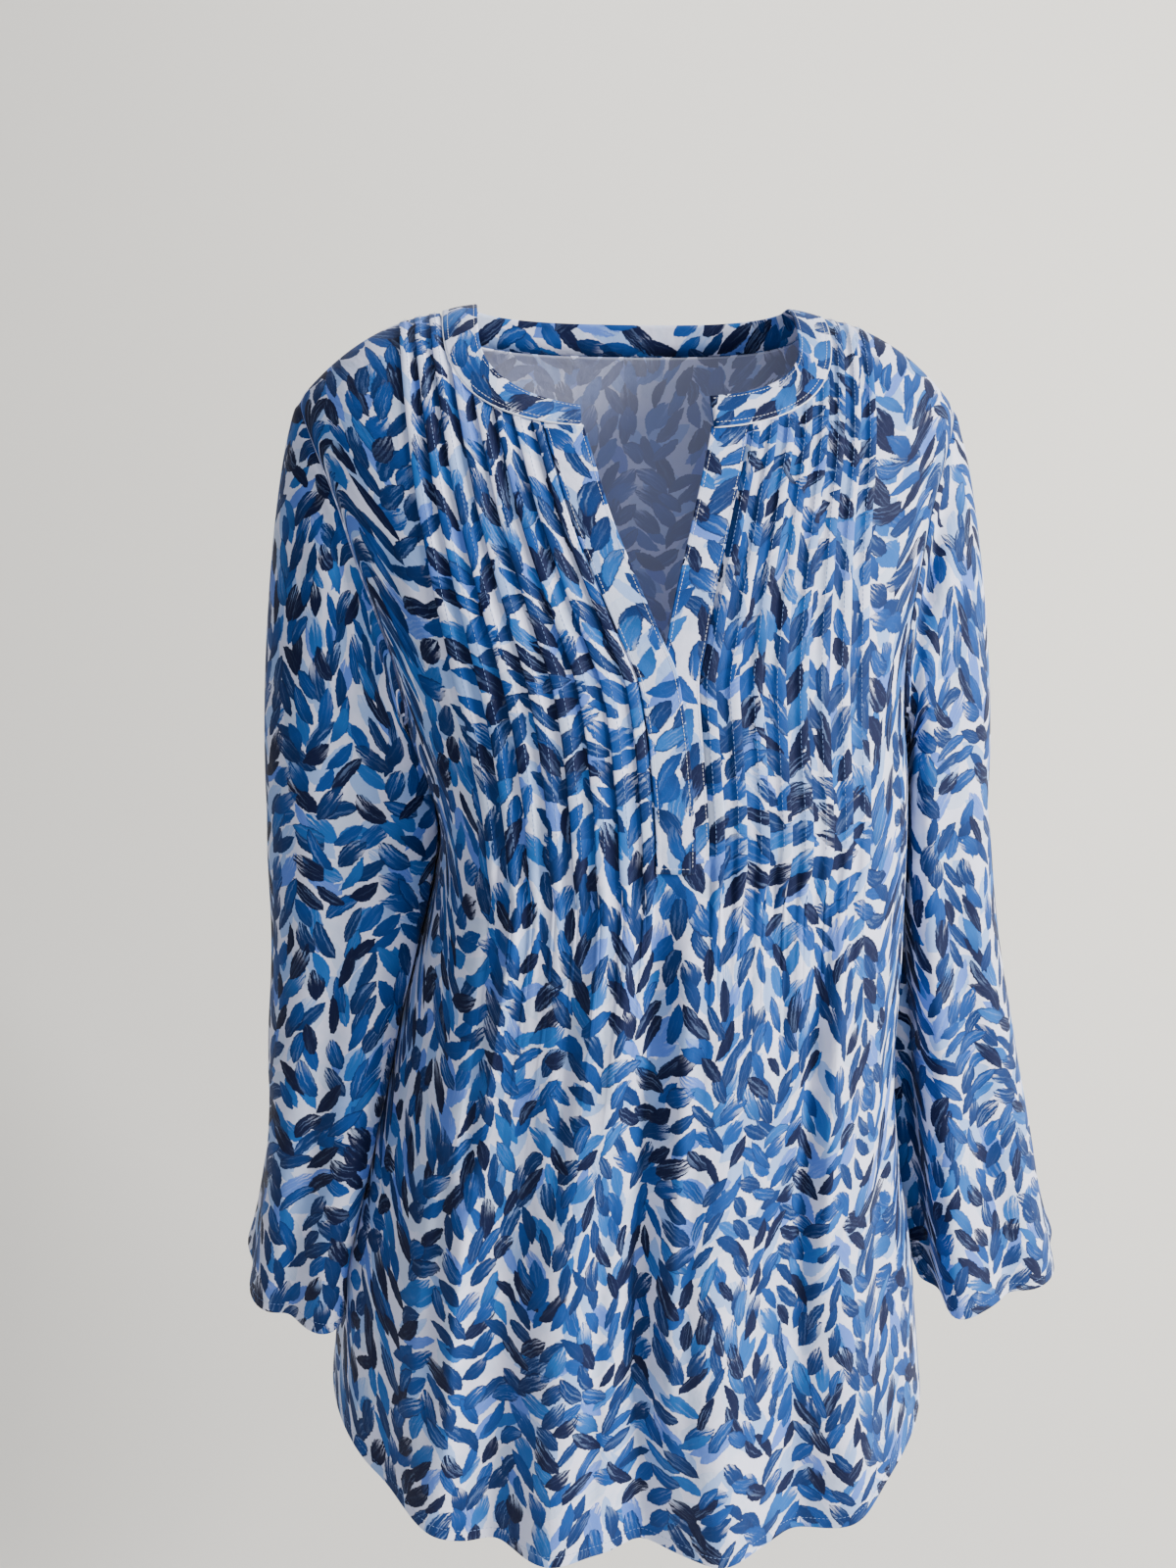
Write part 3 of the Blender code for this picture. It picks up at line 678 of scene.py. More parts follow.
def leafGroup():
    # one layer of brush-dab leaves: at most one leaf in each cell, turned with the sprays
    group = bpy.data.node_groups.new("leafDabs", "ShaderNodeTree")
    face = group.interface
    for name in ("Place", "Wobble", "Shift"):
        face.new_socket(name, in_out="INPUT", socket_type="NodeSocketVector")
    for name in ("Cell", "Seed", "Length", "Width", "Chance"):
        face.new_socket(name, in_out="INPUT", socket_type="NodeSocketFloat")
    for name in ("Mask", "Pick", "Streak", "Rim", "Luck", "Reach"):
        face.new_socket(name, in_out="OUTPUT", socket_type="NodeSocketFloat")
    bench = NodeBench(group)
    math, times, vector, between = bench.math, bench.times, bench.vector, bench.between
    given = bench.add("NodeGroupInput").outputs
    moved = vector("ADD", given["Place"], given["Shift"])
    spot = bench.scaled(moved, math("DIVIDE", 1.0, given["Cell"]))
    cell = vector("FLOOR", spot)
    luck = bench.noise(cell, given["Seed"])
    more = bench.noise(cell, math("ADD", given["Seed"], sprays["seedStep"]))
    jitter, least = sprays["jitter"], (1 - sprays["jitter"]) / 2
    jitter = vector("MULTIPLY_ADD", luck["Color"], (jitter, jitter, 0.0), (least, least, 0.0))
    heart = vector("ADD", cell, jitter)
    away = bench.scaled(vector("SUBTRACT", spot, heart), given["Cell"])
    away = vector("ADD", away, given["Wobble"])
    home = vector("SUBTRACT", bench.scaled(heart, given["Cell"]), given["Shift"])

    # direction of the spray at the leaf's heart
    homeX, homeY, _ = bench.split(home)
    drift = math("SINE", math("MULTIPLY_ADD", homeY, sprays["driftTurns"], sprays["driftStart"]))
    drift = times(drift, sprays["drift"])
    turnsX, turnsY = sprays["rippleTurns"]
    ripple = math("MULTIPLY_ADD", homeX, turnsX, times(homeY, turnsY))
    drift = math("ADD", drift, times(math("SINE", ripple), sprays["ripple"]))
    spine = math("FRACT", math("DIVIDE", math("ADD", homeX, drift), sprays["spacing"]))
    hand = math("SUBTRACT", times(math("LESS_THAN", spine, 0.5), 2.0), 1.0)
    turnsX, turnsY = sprays["swingTurns"]
    wave = math("SINE", math("MULTIPLY_ADD", homeY, turnsY, times(homeX, turnsX)))
    leaning = math("MULTIPLY_ADD", wave, sprays["leanSwing"], sprays["lean"])
    spread = math("MULTIPLY_ADD", luck["Value"], sprays["spread"], -sprays["spread"] / 2)
    angle = math("ADD", times(hand, leaning), spread)
    back = math("SUBTRACT", -pi / 2, angle)
    turn = bench.add("ShaderNodeVectorRotate", {"Vector": away, "Angle": back}, rotation_type="Z_AXIS")
    along, across, _ = bench.split(turn.outputs[0])

    pickR, pickG, pickB = bench.split(more["Color"])
    share = math("MULTIPLY_ADD", pickR, leafShape["longer"], leafShape["halfLength"])
    halfLength = times(given["Length"], share)
    share = math("MULTIPLY_ADD", pickG, leafShape["wider"], leafShape["halfWidth"])
    halfBreadth = times(given["Width"], share)
    reach = math("DIVIDE", along, halfLength)
    squared = times(reach, reach)
    bend = math("MULTIPLY_ADD", pickB, leafShape["bend"], -leafShape["bend"] / 2)
    across = math("ADD", across, times(squared, bend))
    narrow = math("DIVIDE", math("ABSOLUTE", across), halfBreadth)
    blunt = math("MULTIPLY_ADD", pickB, leafShape["blunter"], leafShape["blunt"])
    fullness = math("POWER", squared, blunt)
    rim = math("SUBTRACT", math("SUBTRACT", 1.0, fullness), narrow)

    grainX = times(along, leafShape["marksAlong"])
    grainY = times(across, leafShape["marksAcross"])
    grainZ = times(luck["Value"], leafShape["marksApart"])
    grain = bench.add("ShaderNodeCombineXYZ", {0: grainX, 1: grainY, 2: grainZ}).outputs[0]
    streak = bench.texture(grain, 1.0, 1.5)[0]
    # some leaves run dry towards their tip
    dry = times(between(reach, *brush["dryTip"]), between(pickG, *brush["dryLeaves"]))
    opened = times(dry, between(streak, *brush["dryMarks"]))
    present = math("LESS_THAN", more["Value"], given["Chance"])
    mask = times(between(rim, 0.0, leafShape["edge"]), present)
    wet = math("SUBTRACT", 1.0, times(opened, brush["dryness"]))
    mask = times(mask, wet)
    results = {"Mask": mask, "Pick": pickR, "Streak": streak, "Rim": rim, "Luck": pickB, "Reach": reach}
    done = bench.add("NodeGroupOutput")
    for name, value in results.items():
        bench.feed(done.inputs[name], value)
    return group


printSetup = {
    "ground": "DEE3FF",
    "wash": "93B3EB",
    "mist": "C6D5F5",
    "periwinkle": "567BD2",
    "sky": "165CAA",
    "blue": "00408A",
    "deep": "002C66",
    "navy": "000E38",
    "cell": 0.0292,
    "wobble": 0.0022,
    "wobbleScale": 420.0,
    "cloudScale": 60.0,
}
# Each layer of leaves: shift in cells, seed, length, width, share of cells with a leaf, colours by chance
leafLayers = [
    ((0.10, 0.20), 3.0, 0.035, 0.0130, 0.75, "wash 0.40 mist 0.25 periwinkle 0.35"),
    ((0.62, 0.71), 7.0, 0.035, 0.0125, 0.70, "mist 0.30 wash 0.40 periwinkle 0.30"),
    ((0.30, 0.92), 5.0, 0.029, 0.0095, 0.85, "sky 0.40 periwinkle 0.30 wash 0.30"),
    ((0.00, 0.00), 11.0, 0.0290, 0.0106, 0.97, "blue 0.36 sky 0.20 deep 0.32 periwinkle 0.12"),
    ((0.50, 0.50), 17.0, 0.0290, 0.0106, 0.97, "deep 0.34 blue 0.28 sky 0.12 navy 0.26"),
    ((0.50, 0.00), 23.0, 0.0280, 0.0104, 0.97, "blue 0.34 deep 0.28 sky 0.12 navy 0.26"),
    ((0.00, 0.50), 29.0, 0.0280, 0.0102, 0.92, "navy 0.40 deep 0.32 blue 0.28"),
]


def printGroup(leaves):
    # the whole print as a function of the place on the cloth
    group = bpy.data.node_groups.new("leafPrint", "ShaderNodeTree")
    group.interface.new_socket("Place", in_out="INPUT", socket_type="NodeSocketVector")
    group.interface.new_socket("Colour", in_out="OUTPUT", socket_type="NodeSocketColor")
    bench = NodeBench(group)
    place = bench.add("NodeGroupInput").outputs["Place"]
    rough = bench.texture(place, printSetup["wobbleScale"], 2.0)["Color"]
    sway = printSetup["wobble"]
    wobble = bench.vector("MULTIPLY_ADD", rough, (sway, sway, 0.0), (-sway / 2, -sway / 2, 0.0))
    clouds = bench.between(bench.texture(place, printSetup["cloudScale"], 2.0)[0], *brush["clouds"])
    colour = bench.blend(clouds, tone(printSetup["ground"]), tone(printSetup["mist"]))
    cell, dark, light = printSetup["cell"], tone(printSetup["navy"]), tone(printSetup["wash"])
    for (shiftX, shiftY), seed, length, width, chance, colours in leafLayers:
        names, shares = colours.split()[::2], map(float, colours.split()[1::2])
        # the whole metres keep every cell's number positive
        inputs = {
            "Place": place, "Wobble": wobble, "Shift": (shiftX * cell + 3.0, shiftY * cell + 5.0, 0.0),
            "Cell": cell, "Seed": seed, "Length": length, "Width": width, "Chance": chance,
        }
        leaf = bench.add("ShaderNodeGroup", node_tree=leaves)
        for key, value in inputs.items():
            bench.feed(leaf.inputs[key], value)
        tones = [tone(printSetup[name]) for name in names]
        paint = bench.steps(leaf.outputs["Pick"], list(zip(tones, shares)))
        # drier streaks, and in the layers that end with a strong blue a wet edge and a darker foot
        luck, rim = leaf.outputs["Luck"], leaf.outputs["Rim"]
        streaky = bench.between(leaf.outputs["Streak"], *brush["streaks"])
        streaky = bench.times(streaky, bench.between(luck, *brush["streaky"]))
        paint = bench.blend(streaky, paint, light)
        if names[-1] in ("navy", "blue"):
            edge = bench.between(rim, *brush["wetEdge"])
            edge = bench.times(edge, bench.between(luck, *brush["wet"]))
            foot = bench.between(leaf.outputs["Reach"], *brush["foot"])
            paint = bench.blend(bench.math("MAXIMUM", edge, foot), paint, dark)
        colour = bench.blend(leaf.outputs["Mask"], colour, paint)
    done = bench.add("NodeGroupOutput")
    bench.feed(done.inputs["Colour"], colour)
    return group


def newMaterial(name, look):
    material = bpy.data.materials.new(name)
    material.use_nodes = True
    shader = material.node_tree.nodes["Principled BSDF"]
    for key, value in look.items():
        shader.inputs[key].default_value = value
    return material, NodeBench(material.node_tree), shader


crepeLook = {"Roughness": 0.7, "Specular IOR Level": 0.2, "Sheen Weight": 0.06, "Sheen Roughness": 0.4}
# Crepe: fine crinkled yarns and broader unevenness, with their heights in metres
crepeRelief = {
    "fine": 1500.0, "fineHeight": 0.00022, "broad": 130.0, "broadHeight": 0.0011, "strength": 0.55,
}


def clothMaterial(name, prints, fade):
    material, bench, shader = newMaterial(name, crepeLook)
    place = bench.add("ShaderNodeUVMap", uv_map="cut").outputs[0]
    printed = bench.add("ShaderNodeGroup", node_tree=prints)
    bench.feed(printed.inputs["Place"], place)
    colour = printed.outputs["Colour"]
    if fade:
        colour = bench.blend(fade, colour, tone(printSetup["ground"]))
    bench.feed(shader.inputs["Base Color"], colour)
    fine = bench.times(bench.texture(place, crepeRelief["fine"], 1.0)[0], crepeRelief["fineHeight"])
    broad = bench.times(bench.texture(place, crepeRelief["broad"], 2.0)[0], crepeRelief["broadHeight"])
    inputs = {"Strength": crepeRelief["strength"], "Distance": 1.0, "Height": bench.math("ADD", fine, broad)}
    bench.feed(shader.inputs["Normal"], bench.add("ShaderNodeBump", inputs).outputs[0])
    return material


threadLook = {"Roughness": 0.6}
twistScale = 900.0


def threadMaterial(name, light, dark):
    material, bench, shader = newMaterial(name, threadLook)
    place = bench.add("ShaderNodeTexCoord").outputs["Object"]
    twist = bench.texture(place, twistScale, 1.0)[0]
    bench.feed(shader.inputs["Base Color"], bench.blend(twist, tone(light), tone(dark)))
    return material


leaves = leafGroup()
prints = printGroup(leaves)
wrongSideFade = 0.45
crepe = clothMaterial("leafPrintCrepe", prints, 0.0)
wrongSide = clothMaterial("crepeWrongSide", prints, wrongSideFade)
blueThread = threadMaterial("blueThread", "8DA9DA", "5F82C0")
paleThread = threadMaterial("paleThread", "F1F3FB", "D5DCF0")
print("materials made")


def dress(piece, thickness=None):
    piece.data.materials.append(crepe)
    piece.data.materials.append(wrongSide)
    if thickness:
        thicken(piece, thickness)
    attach(piece, "root")


# Front
frontPiece = {"upperRows": 78, "lowerRows": 80, "flat": (0.66, 0.80), "area": 0.44, "cutPlace": (0.0, 0.0)}
leftColumns = halfFrontColumns(-1)
frontColumns = leftColumns[::-1] + [plainColumn(0.0, 1)] + halfFrontColumns(1)
frontPoints = panelPoints(frontSide, frontColumns, frontPiece["upperRows"], frontPiece["lowerRows"])
# How far the cloth between two columns counts in the cut, and whether it lies in the tucks or the slit
shows, frontShares = gather(frontColumns, "cut"), gather(frontColumns, "share")
weights = np.where(np.arange(len(shows) - 1) < len(leftColumns), shows[:-1], shows[1:])
outerShares = np.maximum(frontShares[1:], frontShares[:-1])
held = (weights, outerShares <= tuckShare + nearly, outerShares <= slitShare + nearly)
frontCut = cutMap(frontPoints, len(leftColumns), frontPiece["upperRows"], frontPiece["cutPlace"], held)
slitMask = np.zeros(frontPoints.shape[:2], bool)
slitMask[:frontPiece["upperRows"] + 1, frontShares <= slitShare + nearly] = True
front = makeSheet("frontCloth", frontPoints, frontCut, dropped=slitMask)
dress(front, garment["clothThickness"])
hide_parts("front")
print("front made", frontPoints.shape)

# Back
backPiece = {
    "steps": 56, "upperRows": 64, "lowerRows": 70,
    "flat": (0.52, 0.80), "area": 0.36, "cutPlace": (0.95, 0.13),
}
steps = backPiece["steps"]
backShares = [np.sin(pi / 2 * i / steps) for i in range(1, steps + 1)]
backColumns = [plainColumn(share, 1, straightShares) for share in reversed(backShares)]
backColumns += [plainColumn(share, -1, straightShares) for share in [0.0] + backShares]
backPoints = panelPoints(backSide, backColumns, backPiece["upperRows"], backPiece["lowerRows"])
backCut = cutMap(backPoints, steps, backPiece["upperRows"], backPiece["cutPlace"])
back = makeSheet("backCloth", backPoints, backCut)
dress(back, garment["clothThickness"])
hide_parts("back")
print("back made")

# Sleeves: level sections as in the solids, an oval with its long half at an angle from +X
Sleeve = namedtuple("Sleeve", "height x y long short turn full")
SleeveFold = namedtuple("SleeveFold", "angle hemAngle halfWidth depth start")
rightSleeve = {
    "name": "sleeveRightCloth", "node": "sleeve_right", "hand": 1,
    "seamValley": 0.008, "cutPlace": (2.1, 0.41),
    "rows": table(Sleeve, [
        (-0.300, 0.2080, 0.010, 0.065, 0.0320, 84, 0.012),
        (-0.370, 0.2180, 0.012, 0.067, 0.0350, 80, 0.012),
        (-0.440, 0.2305, 0.014, 0.069, 0.0380, 74, 0.011),
        (-0.510, 0.2441, 0.016, 0.072, 0.0410, 66, 0.010),
        (-0.580, 0.2603, 0.016, 0.076, 0.0425, 56, 0.010),
        (-0.652, 0.2752, 0.015, 0.082, 0.0430, 46, 0.006),
    ]),
    "folds": table(SleeveFold, [
        (254, 244, 14, 0.013, 0.050),
        (222, 210, 20, -0.026, 0.050),
        (214, 208, 22, 0.014, -0.460),
        (272, 282, 13, -0.009, -0.300),
        (318, 312, 22, 0.005, -0.420),
        (345, 342, 16, -0.005, -0.480),
        (120, 128, 20, 0.005, -0.300),
        (160, 166, 18, -0.005, -0.400),
    ]),
}
leftSleeve = {
    "name": "sleeveLeftCloth", "node": "sleeve_left", "hand": -1,
    "seamValley": 0.003, "cutPlace": (3.3, 0.27),
    "rows": table(Sleeve, [
        (-0.300, -0.1940, 0.010, 0.065, 0.0385, 90, 0.025),
        (-0.370, -0.1985, 0.012, 0.068, 0.0375, 91, 0.024),
        (-0.440, -0.2050, 0.014, 0.071, 0.0350, 93, 0.019),
        (-0.510, -0.2140, 0.016, 0.074, 0.0315, 96, 0.016),
        (-0.580, -0.2294, 0.018, 0.077, 0.0285, 102, 0.015),
        (-0.632, -0.2393, 0.018, 0.081, 0.0280, 110, 0.012),
    ]),
    "folds": table(SleeveFold, [
        (290, 286, 20, 0.008, -0.140),
        (325, 322, 20, -0.006, -0.260),
        (264, 252, 14, -0.008, -0.260),
        (225, 226, 20, 0.006, -0.420),
        (190, 192, 16, -0.005, -0.480),
        (60, 54, 20, 0.005, -0.300),
    ]),
}
sleeveShape = {
    "joinZ": -0.300, "headFall": 1.70, "underarmLead": 0.010, "shoulderLead": 0.024, "headTail": 0.42,
    "steps": 112, "headRows": 60, "tubeRows": 84, "flat": (0.42, 0.64), "area": 0.185,
    "crowding": 1.3, "foldGrowth": 0.6, "rumple": 0.0012, "rumpleAngle": 60, "rumpleHeight": 0.05,
}
# The sleeves rest beside the body between two heights, and their fullness comes and goes there;
# a sleeve is moved out by "most" times the softness and no further
sleeveRest = {
    "gap": 0.0015, "softness": 0.0012, "most": 40.0,
    "from": -0.22, "to": -0.62, "comesOver": 0.08, "goesOver": 0.05,
}
# A soft valley runs beside the front of the armhole: angles in degrees, sizes in metres
seamValley = {"towards": -90, "spread": 50, "away": 0.015, "halfWidth": 0.010}


def gridNormals(points):
    across, down = np.gradient(points, axis=1), np.gradient(points, axis=0)
    seam = points[:, 1] - points[:, -2]
    across[:, 0] = across[:, -1] = seam
    return unit(np.cross(down, across))


def armholeRing(hand, turns):
    # places round the armhole from the underarm, up the front and down the back
    share = ease(np.abs(1 - 2 * turns))
    top = shoulderHeight(shoulderTipX)
    height = top + (underarmZ - top) * share
    ring = []
    for side in (frontSide, backSide):
        ring.append(bodyPoint(hand * armholeEdge[side](share), height, side))
    return np.where((turns < 0.5)[:, None], ring[0], ring[1])


def restOnBody(points, hand):
    # keeps the sleeve's inner side just clear of the body's side
    height = points[:, 2]
    depth = np.where(points[:, 1] < 0, depthOf[frontSide](height), depthOf[backSide](height))
    behind = clamp(np.abs(points[:, 1]) / depth)
    reach = (1 - behind ** roundness) ** (1 / roundness)
    bodyX = halfWidth(height) * reach + sleeveRest["gap"]
    if hand < 0:
        bodyX = bodyX - drawIn(height) * reach ** drawInBend
    way = hand * (points[:, 0] - lean(height))
    # a soft choice of the further one
    over = (bodyX - way) / sleeveRest["softness"]
    way = way + sleeveRest["softness"] * np.log1p(np.exp(np.minimum(over, sleeveRest["most"])))
    points = points.copy()
    points[:, 0] = lean(height) + hand * way
    return points


def sleevePoints(sleeve):
    hand, rows, folds = sleeve["hand"], sleeve["rows"], sleeve["folds"]
    rail = {key: smoothCurve(rows, "height", key) for key in ("x", "y", "long", "short", "turn", "full")}
    hem = rows[-1].height
    join = sleeveShape["joinZ"]
    turns = np.linspace(0, 1, sleeveShape["steps"] + 1)
    turns[-1] = 0.0
    azimuth = (180.0 if hand > 0 else 0.0) + hand * 360.0 * turns

    def tube(height, inset=0.0):
        oval = np.radians(azimuth - rail["turn"](height))
        axis = np.radians(rail["turn"](height))
        # fuller towards the body than the solid sleeve, which stays clear of it
        near = ease((sleeveRest["from"] - height) / sleeveRest["comesOver"])
        near = near * ease((height - sleeveRest["to"]) / sleeveRest["goesOver"] + 1)
        full = float(rail["full"](height) * near)
        longWay = rail["long"](height) * np.cos(oval)
        shortWay = (rail["short"](height) + full) * np.sin(oval)
        outX = longWay * np.cos(axis) - shortWay * np.sin(axis)
        outY = longWay * np.sin(axis) + shortWay * np.cos(axis)
        stand = -inset
        for fold in folds:
            grown = clamp((fold.start - height) / (fold.start - hem))
            angle = fold.angle + (fold.hemAngle - fold.angle) * grown
            away = (azimuth - angle + 180) % 360 - 180
            grown = grown ** sleeveShape["foldGrowth"]
            stand = stand + fold.depth * grown * np.exp(-((away / fold.halfWidth) ** 2))
        around, down = azimuth / sleeveShape["rumpleAngle"], height / sleeveShape["rumpleHeight"]
        uneven = rumple(around, down, 1.0, hand)
        stand = stand + sleeveShape["rumple"] * uneven
        grow = 1 + stand / np.hypot(outX, outY)
        level = np.full(len(azimuth), height)
        middleX, middleY = rail["x"](height) - hand * full, rail["y"](height)
        points = np.stack([middleX + outX * grow, middleY + outY * grow, level], axis=-1)
        return restOnBody(points, hand) if height < sleeveRest["from"] else points

    ring, end = armholeRing(hand, turns), tube(join)
    topness = ((1 - np.cos(2 * pi * turns)) / 2)[:, None]
    out = unit(np.hstack([np.full_like(topness, hand), 0 * topness, -sleeveShape["headFall"] * topness]))
    least, most = sleeveShape["underarmLead"], sleeveShape["shoulderLead"]
    lead = ring + out * (least + (most - least) * topness)
    tail = end + np.outer((ring - end)[:, 2] * sleeveShape["headTail"], (0, 0, 1))
    points = []
    for down in np.linspace(0, 1, sleeveShape["headRows"] + 1) ** sleeveShape["crowding"]:
        rest = 1 - down
        point = ring * rest ** 3 + lead * 3 * rest ** 2 * down
        point = point + tail * 3 * rest * down ** 2 + end * down ** 3
        points.append(point + out * garment["armholeGap"] * rest)
    for share in np.linspace(0, 1, sleeveShape["tubeRows"] + 1)[1:]:
        points.append(tube(join + (hem + hemTurn[0][0] - join) * share))
    for rise, inset in hemTurn[1:]:
        points.append(tube(hem + rise, inset))
    sleeveHems.append(tube(hem + stitching["hemRise"], -stitching["sleeveLift"]))
    points = np.array(points)
    # the head dips into the armhole seam, and beside it in front lies the valley
    normals = gridNormals(points) * hand
    away = np.linalg.norm(points - points[0], axis=2)[..., None]
    dip = seamDip["depth"] * np.exp(-((away / seamDip["width"]) ** 2))
    off = (azimuth - seamValley["towards"] + 180) % 360 - 180
    frontness = np.exp(-((off / seamValley["spread"]) ** 2))[None, :, None]
    valley = np.exp(-(((away - seamValley["away"]) / seamValley["halfWidth"]) ** 2))
    dip = dip + sleeve["seamValley"] * frontness * valley
    return points - normals * dip


stitching = {"radius": 0.00016, "hemRise": 0.0075, "sleeveLift": 0.0001}
# the paths of the sleeves' hem stitches, kept for the stitching below
sleeveHems = []
for sleeve in (rightSleeve, leftSleeve):
    points = sleevePoints(sleeve)
    if sleeve["hand"] < 0:
        points = points[:, ::-1]
    cut = cutMap(points, sleeveShape["steps"] // 2, sleeveShape["headRows"], sleeve["cutPlace"])
    cloth = makeSheet(sleeve["name"], points, cut, joined=True)
    dress(cloth, garment["clothThickness"])
    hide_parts(sleeve["node"])
print("sleeves made")


def wayAlong(path):
    return np.concatenate([[0], np.cumsum(np.linalg.norm(np.diff(path, axis=0), axis=1))])


def sweepSection(name, stations, section, cutPlace):
    # a closed strip: one ring of points for each station, with both ends capped
    shape = np.array([[station(s / 1000, lift / 1000) for s, lift in section] for station in stations])
    shape = np.concatenate([shape, shape[:, :1]], axis=1)
    cut = np.meshgrid(cutPlace[0] + wayAlong(shape[0]), cutPlace[1] + wayAlong(shape[:, 0]))
    cut = np.stack(cut, axis=-1)
    bm, _, layer = gridMesh(shape, cut)
    bmesh.ops.remove_doubles(bm, verts=bm.verts[:], dist=joinDistance)
    rims = [edge for edge in bm.edges if edge.is_boundary]
    caps = bmesh.ops.holes_fill(bm, edges=rims, sides=0)
    for face in caps["faces"]:
        for loop in face.loops:
            loop[layer].uv = (cutPlace[0] + loop.vert.co.x, cutPlace[1] + loop.vert.co.z)
    bmesh.ops.recalc_face_normals(bm, faces=bm.faces[:])
    return finishPiece(name, bm)


# Neckband: a doubled strip with a stitched edge on both sides
neckbandPiece = {
    "frontSteps": 70, "backSteps": 90, "smoothing": 120, "cutPlace": (5.2, 0.35), "flat": (0.56, 0.019),
}
# Section in millimetres: way up the band from the seam, and lift
bandSection = [
    (-1.1, 0.10), (-1.3, 0.70), (-0.9, 1.10), (0.2, 1.25), (1.6, 1.08), (2.6, 1.25), (6.0, 1.45),
    (11.0, 1.45), (15.5, 1.20), (17.0, 0.95), (18.0, 1.05), (18.8, 0.80), (19.1, 0.2), (18.8, -0.50),
    (17.0, -0.66), (9.0, -0.72), (0.5, -0.62), (0.4, 0.06),
]


def neckX(angle):
    reach = np.abs(np.sin(angle)) ** (2 / neck["roundness"])
    return neck["halfWidth"] * reach * (1 if np.sin(angle) >= 0 else -1)


def neckStations():
    endAngle = np.arcsin((neck["endX"] / neck["halfWidth"]) ** (neck["roundness"] / 2))
    steps = neckbandPiece["frontSteps"]
    angles = [endAngle + (pi / 2 - endAngle) * np.sin(pi / 2 * i / steps) for i in range(steps)]
    stations = [(-angle, frontSide) for angle in angles]
    steps = neckbandPiece["backSteps"]
    stations += [(-pi / 2 * np.cos(pi * i / steps), backSide) for i in range(steps + 1)]
    stations += [(angle, frontSide) for angle in reversed(angles)]
    return stations, endAngle


# Angles, in radians, at which the seam's slope is taken and its shoulder point counts as reached
neckAngles = {"step": 0.002, "sideways": 0.02, "shoulder": 1e-6}


def neckFrame(angle, side, endAngle):
    # the seam's place and the way up the band
    x = neckX(angle)
    z = float(neckHeight(x, side))
    ahead, behind = neckX(angle + neckAngles["step"]), neckX(angle - neckAngles["step"])
    climb = float(neckHeight(ahead, side) - neckHeight(behind, side))
    inward = unit(np.array([-climb, 0.0, ahead - behind]))
    if abs(np.cos(angle)) < neckAngles["sideways"]:
        inward = np.array([-1.0 if x > 0 else 1.0, 0.0, 0.0])
    depth = float(bodyDepth(x, z, side)) + garment["seamGap"] / 2
    if abs(abs(angle) - pi / 2) < neckAngles["shoulder"]:
        depth = 0.0
    seam = np.array([x + float(lean(z)), side * depth, z]) + inward * garment["seamGap"]
    tip = neck["frontTip"] if side == frontSide else neck["backTip"]
    if angle < 0 and side == frontSide:
        nearEnd = (neck["leftEndReach"] + angle) / (neck["leftEndReach"] - endAngle)
        tip += neck["leftEndTip"] * float(ease(nearEnd))
    way = unit(np.array([inward[0], tip * inward[2], inward[2] + neck["stand"]]))
    return seam, way


stations, endAngle = neckStations()
frames = [neckFrame(angle, side, endAngle) for angle, side in stations]
seams = np.array([seam for seam, way in frames])
ways = np.array([way for seam, way in frames])
for _ in range(neckbandPiece["smoothing"]):
    ways[1:-1] = unit(ways[:-2] + ways[1:-1] * 2 + ways[2:])
tangents = unit(np.gradient(seams, axis=0))
outs = unit(np.cross(ways, tangents))
chestMiddle = np.array([0, 0, releaseZ])
outs[np.sum(outs * (seams - chestMiddle), axis=1) < 0] *= -1


def bandStation(index):
    return lambda s, lift: seams[index] + ways[index] * s + outs[index] * lift


bandStations = [bandStation(i) for i in range(len(seams))]
band = sweepSection("neckbandCloth", bandStations, bandSection, neckbandPiece["cutPlace"])
dress(band)
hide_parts("neckband")
print("neckband made")

# A pale folded edge shows along the neck seam; its sizes are in millimetres
piping = {"radius": 0.5, "sides": 8, "s": -1.3, "lift": 0.5, "cutPlace": (6.9, 0.1)}
turns = [2 * pi * i / piping["sides"] for i in range(piping["sides"])]
pipingSection = [
    (piping["s"] + piping["radius"] * np.cos(turn), piping["lift"] + piping["radius"] * np.sin(turn))
    for turn in turns
]
edge = sweepSection("neckPiping", bandStations, pipingSection, piping["cutPlace"])
edge.data.materials.append(paleThread)
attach(edge, "root")

# Slit bands
slitBands = [
    {
        "name": "slitOverCloth", "node": "slit_band_over", "hand": -1, "reach": 0.0010,
        "lift": 0.0009, "endZ": -0.307, "cutPlace": (6.1, 0.2),
    },
    {
        "name": "slitUnderCloth", "node": "slit_band_under", "hand": 1, "reach": 0.0008,
        "lift": -0.0006, "endZ": -0.3015, "cutPlace": (6.6, 0.5),
    },
]
slitBandWidth = 0.0215
slitBandGrid = {"rows": 90, "topGap": 0.0004, "slantStep": 0.005}
# Section in millimetres: way in from the slit's edge, and lift
slitSection = [
    (0.0, 0.0), (0.3, 0.42), (1.2, 0.52), (2.0, 0.40), (3.0, 0.55), (8.0, 0.72), (14.0, 0.70), (18.6, 0.56),
    (19.6, 0.40), (20.6, 0.54), (21.3, 0.40), (21.5, 0.0), (21.3, -0.45), (18.0, -0.55), (8.0, -0.55),
    (0.4, -0.5),
]


def slitStation(bandSetup, height):
    hand = bandSetup["hand"]
    step = slitBandGrid["slantStep"]
    slant = (slitEdge(height + step) - slitEdge(height - step)) / (2 * step)
    stretch = np.sqrt(1 + slant * slant)

    def place(s, lift):
        x = hand * (slitEdge(height) + bandSetup["reach"] - s * stretch)
        point = bodyPoint(x, height, frontSide)
        return point + np.array([0.0, -(lift + bandSetup["lift"]), 0.0])

    return place


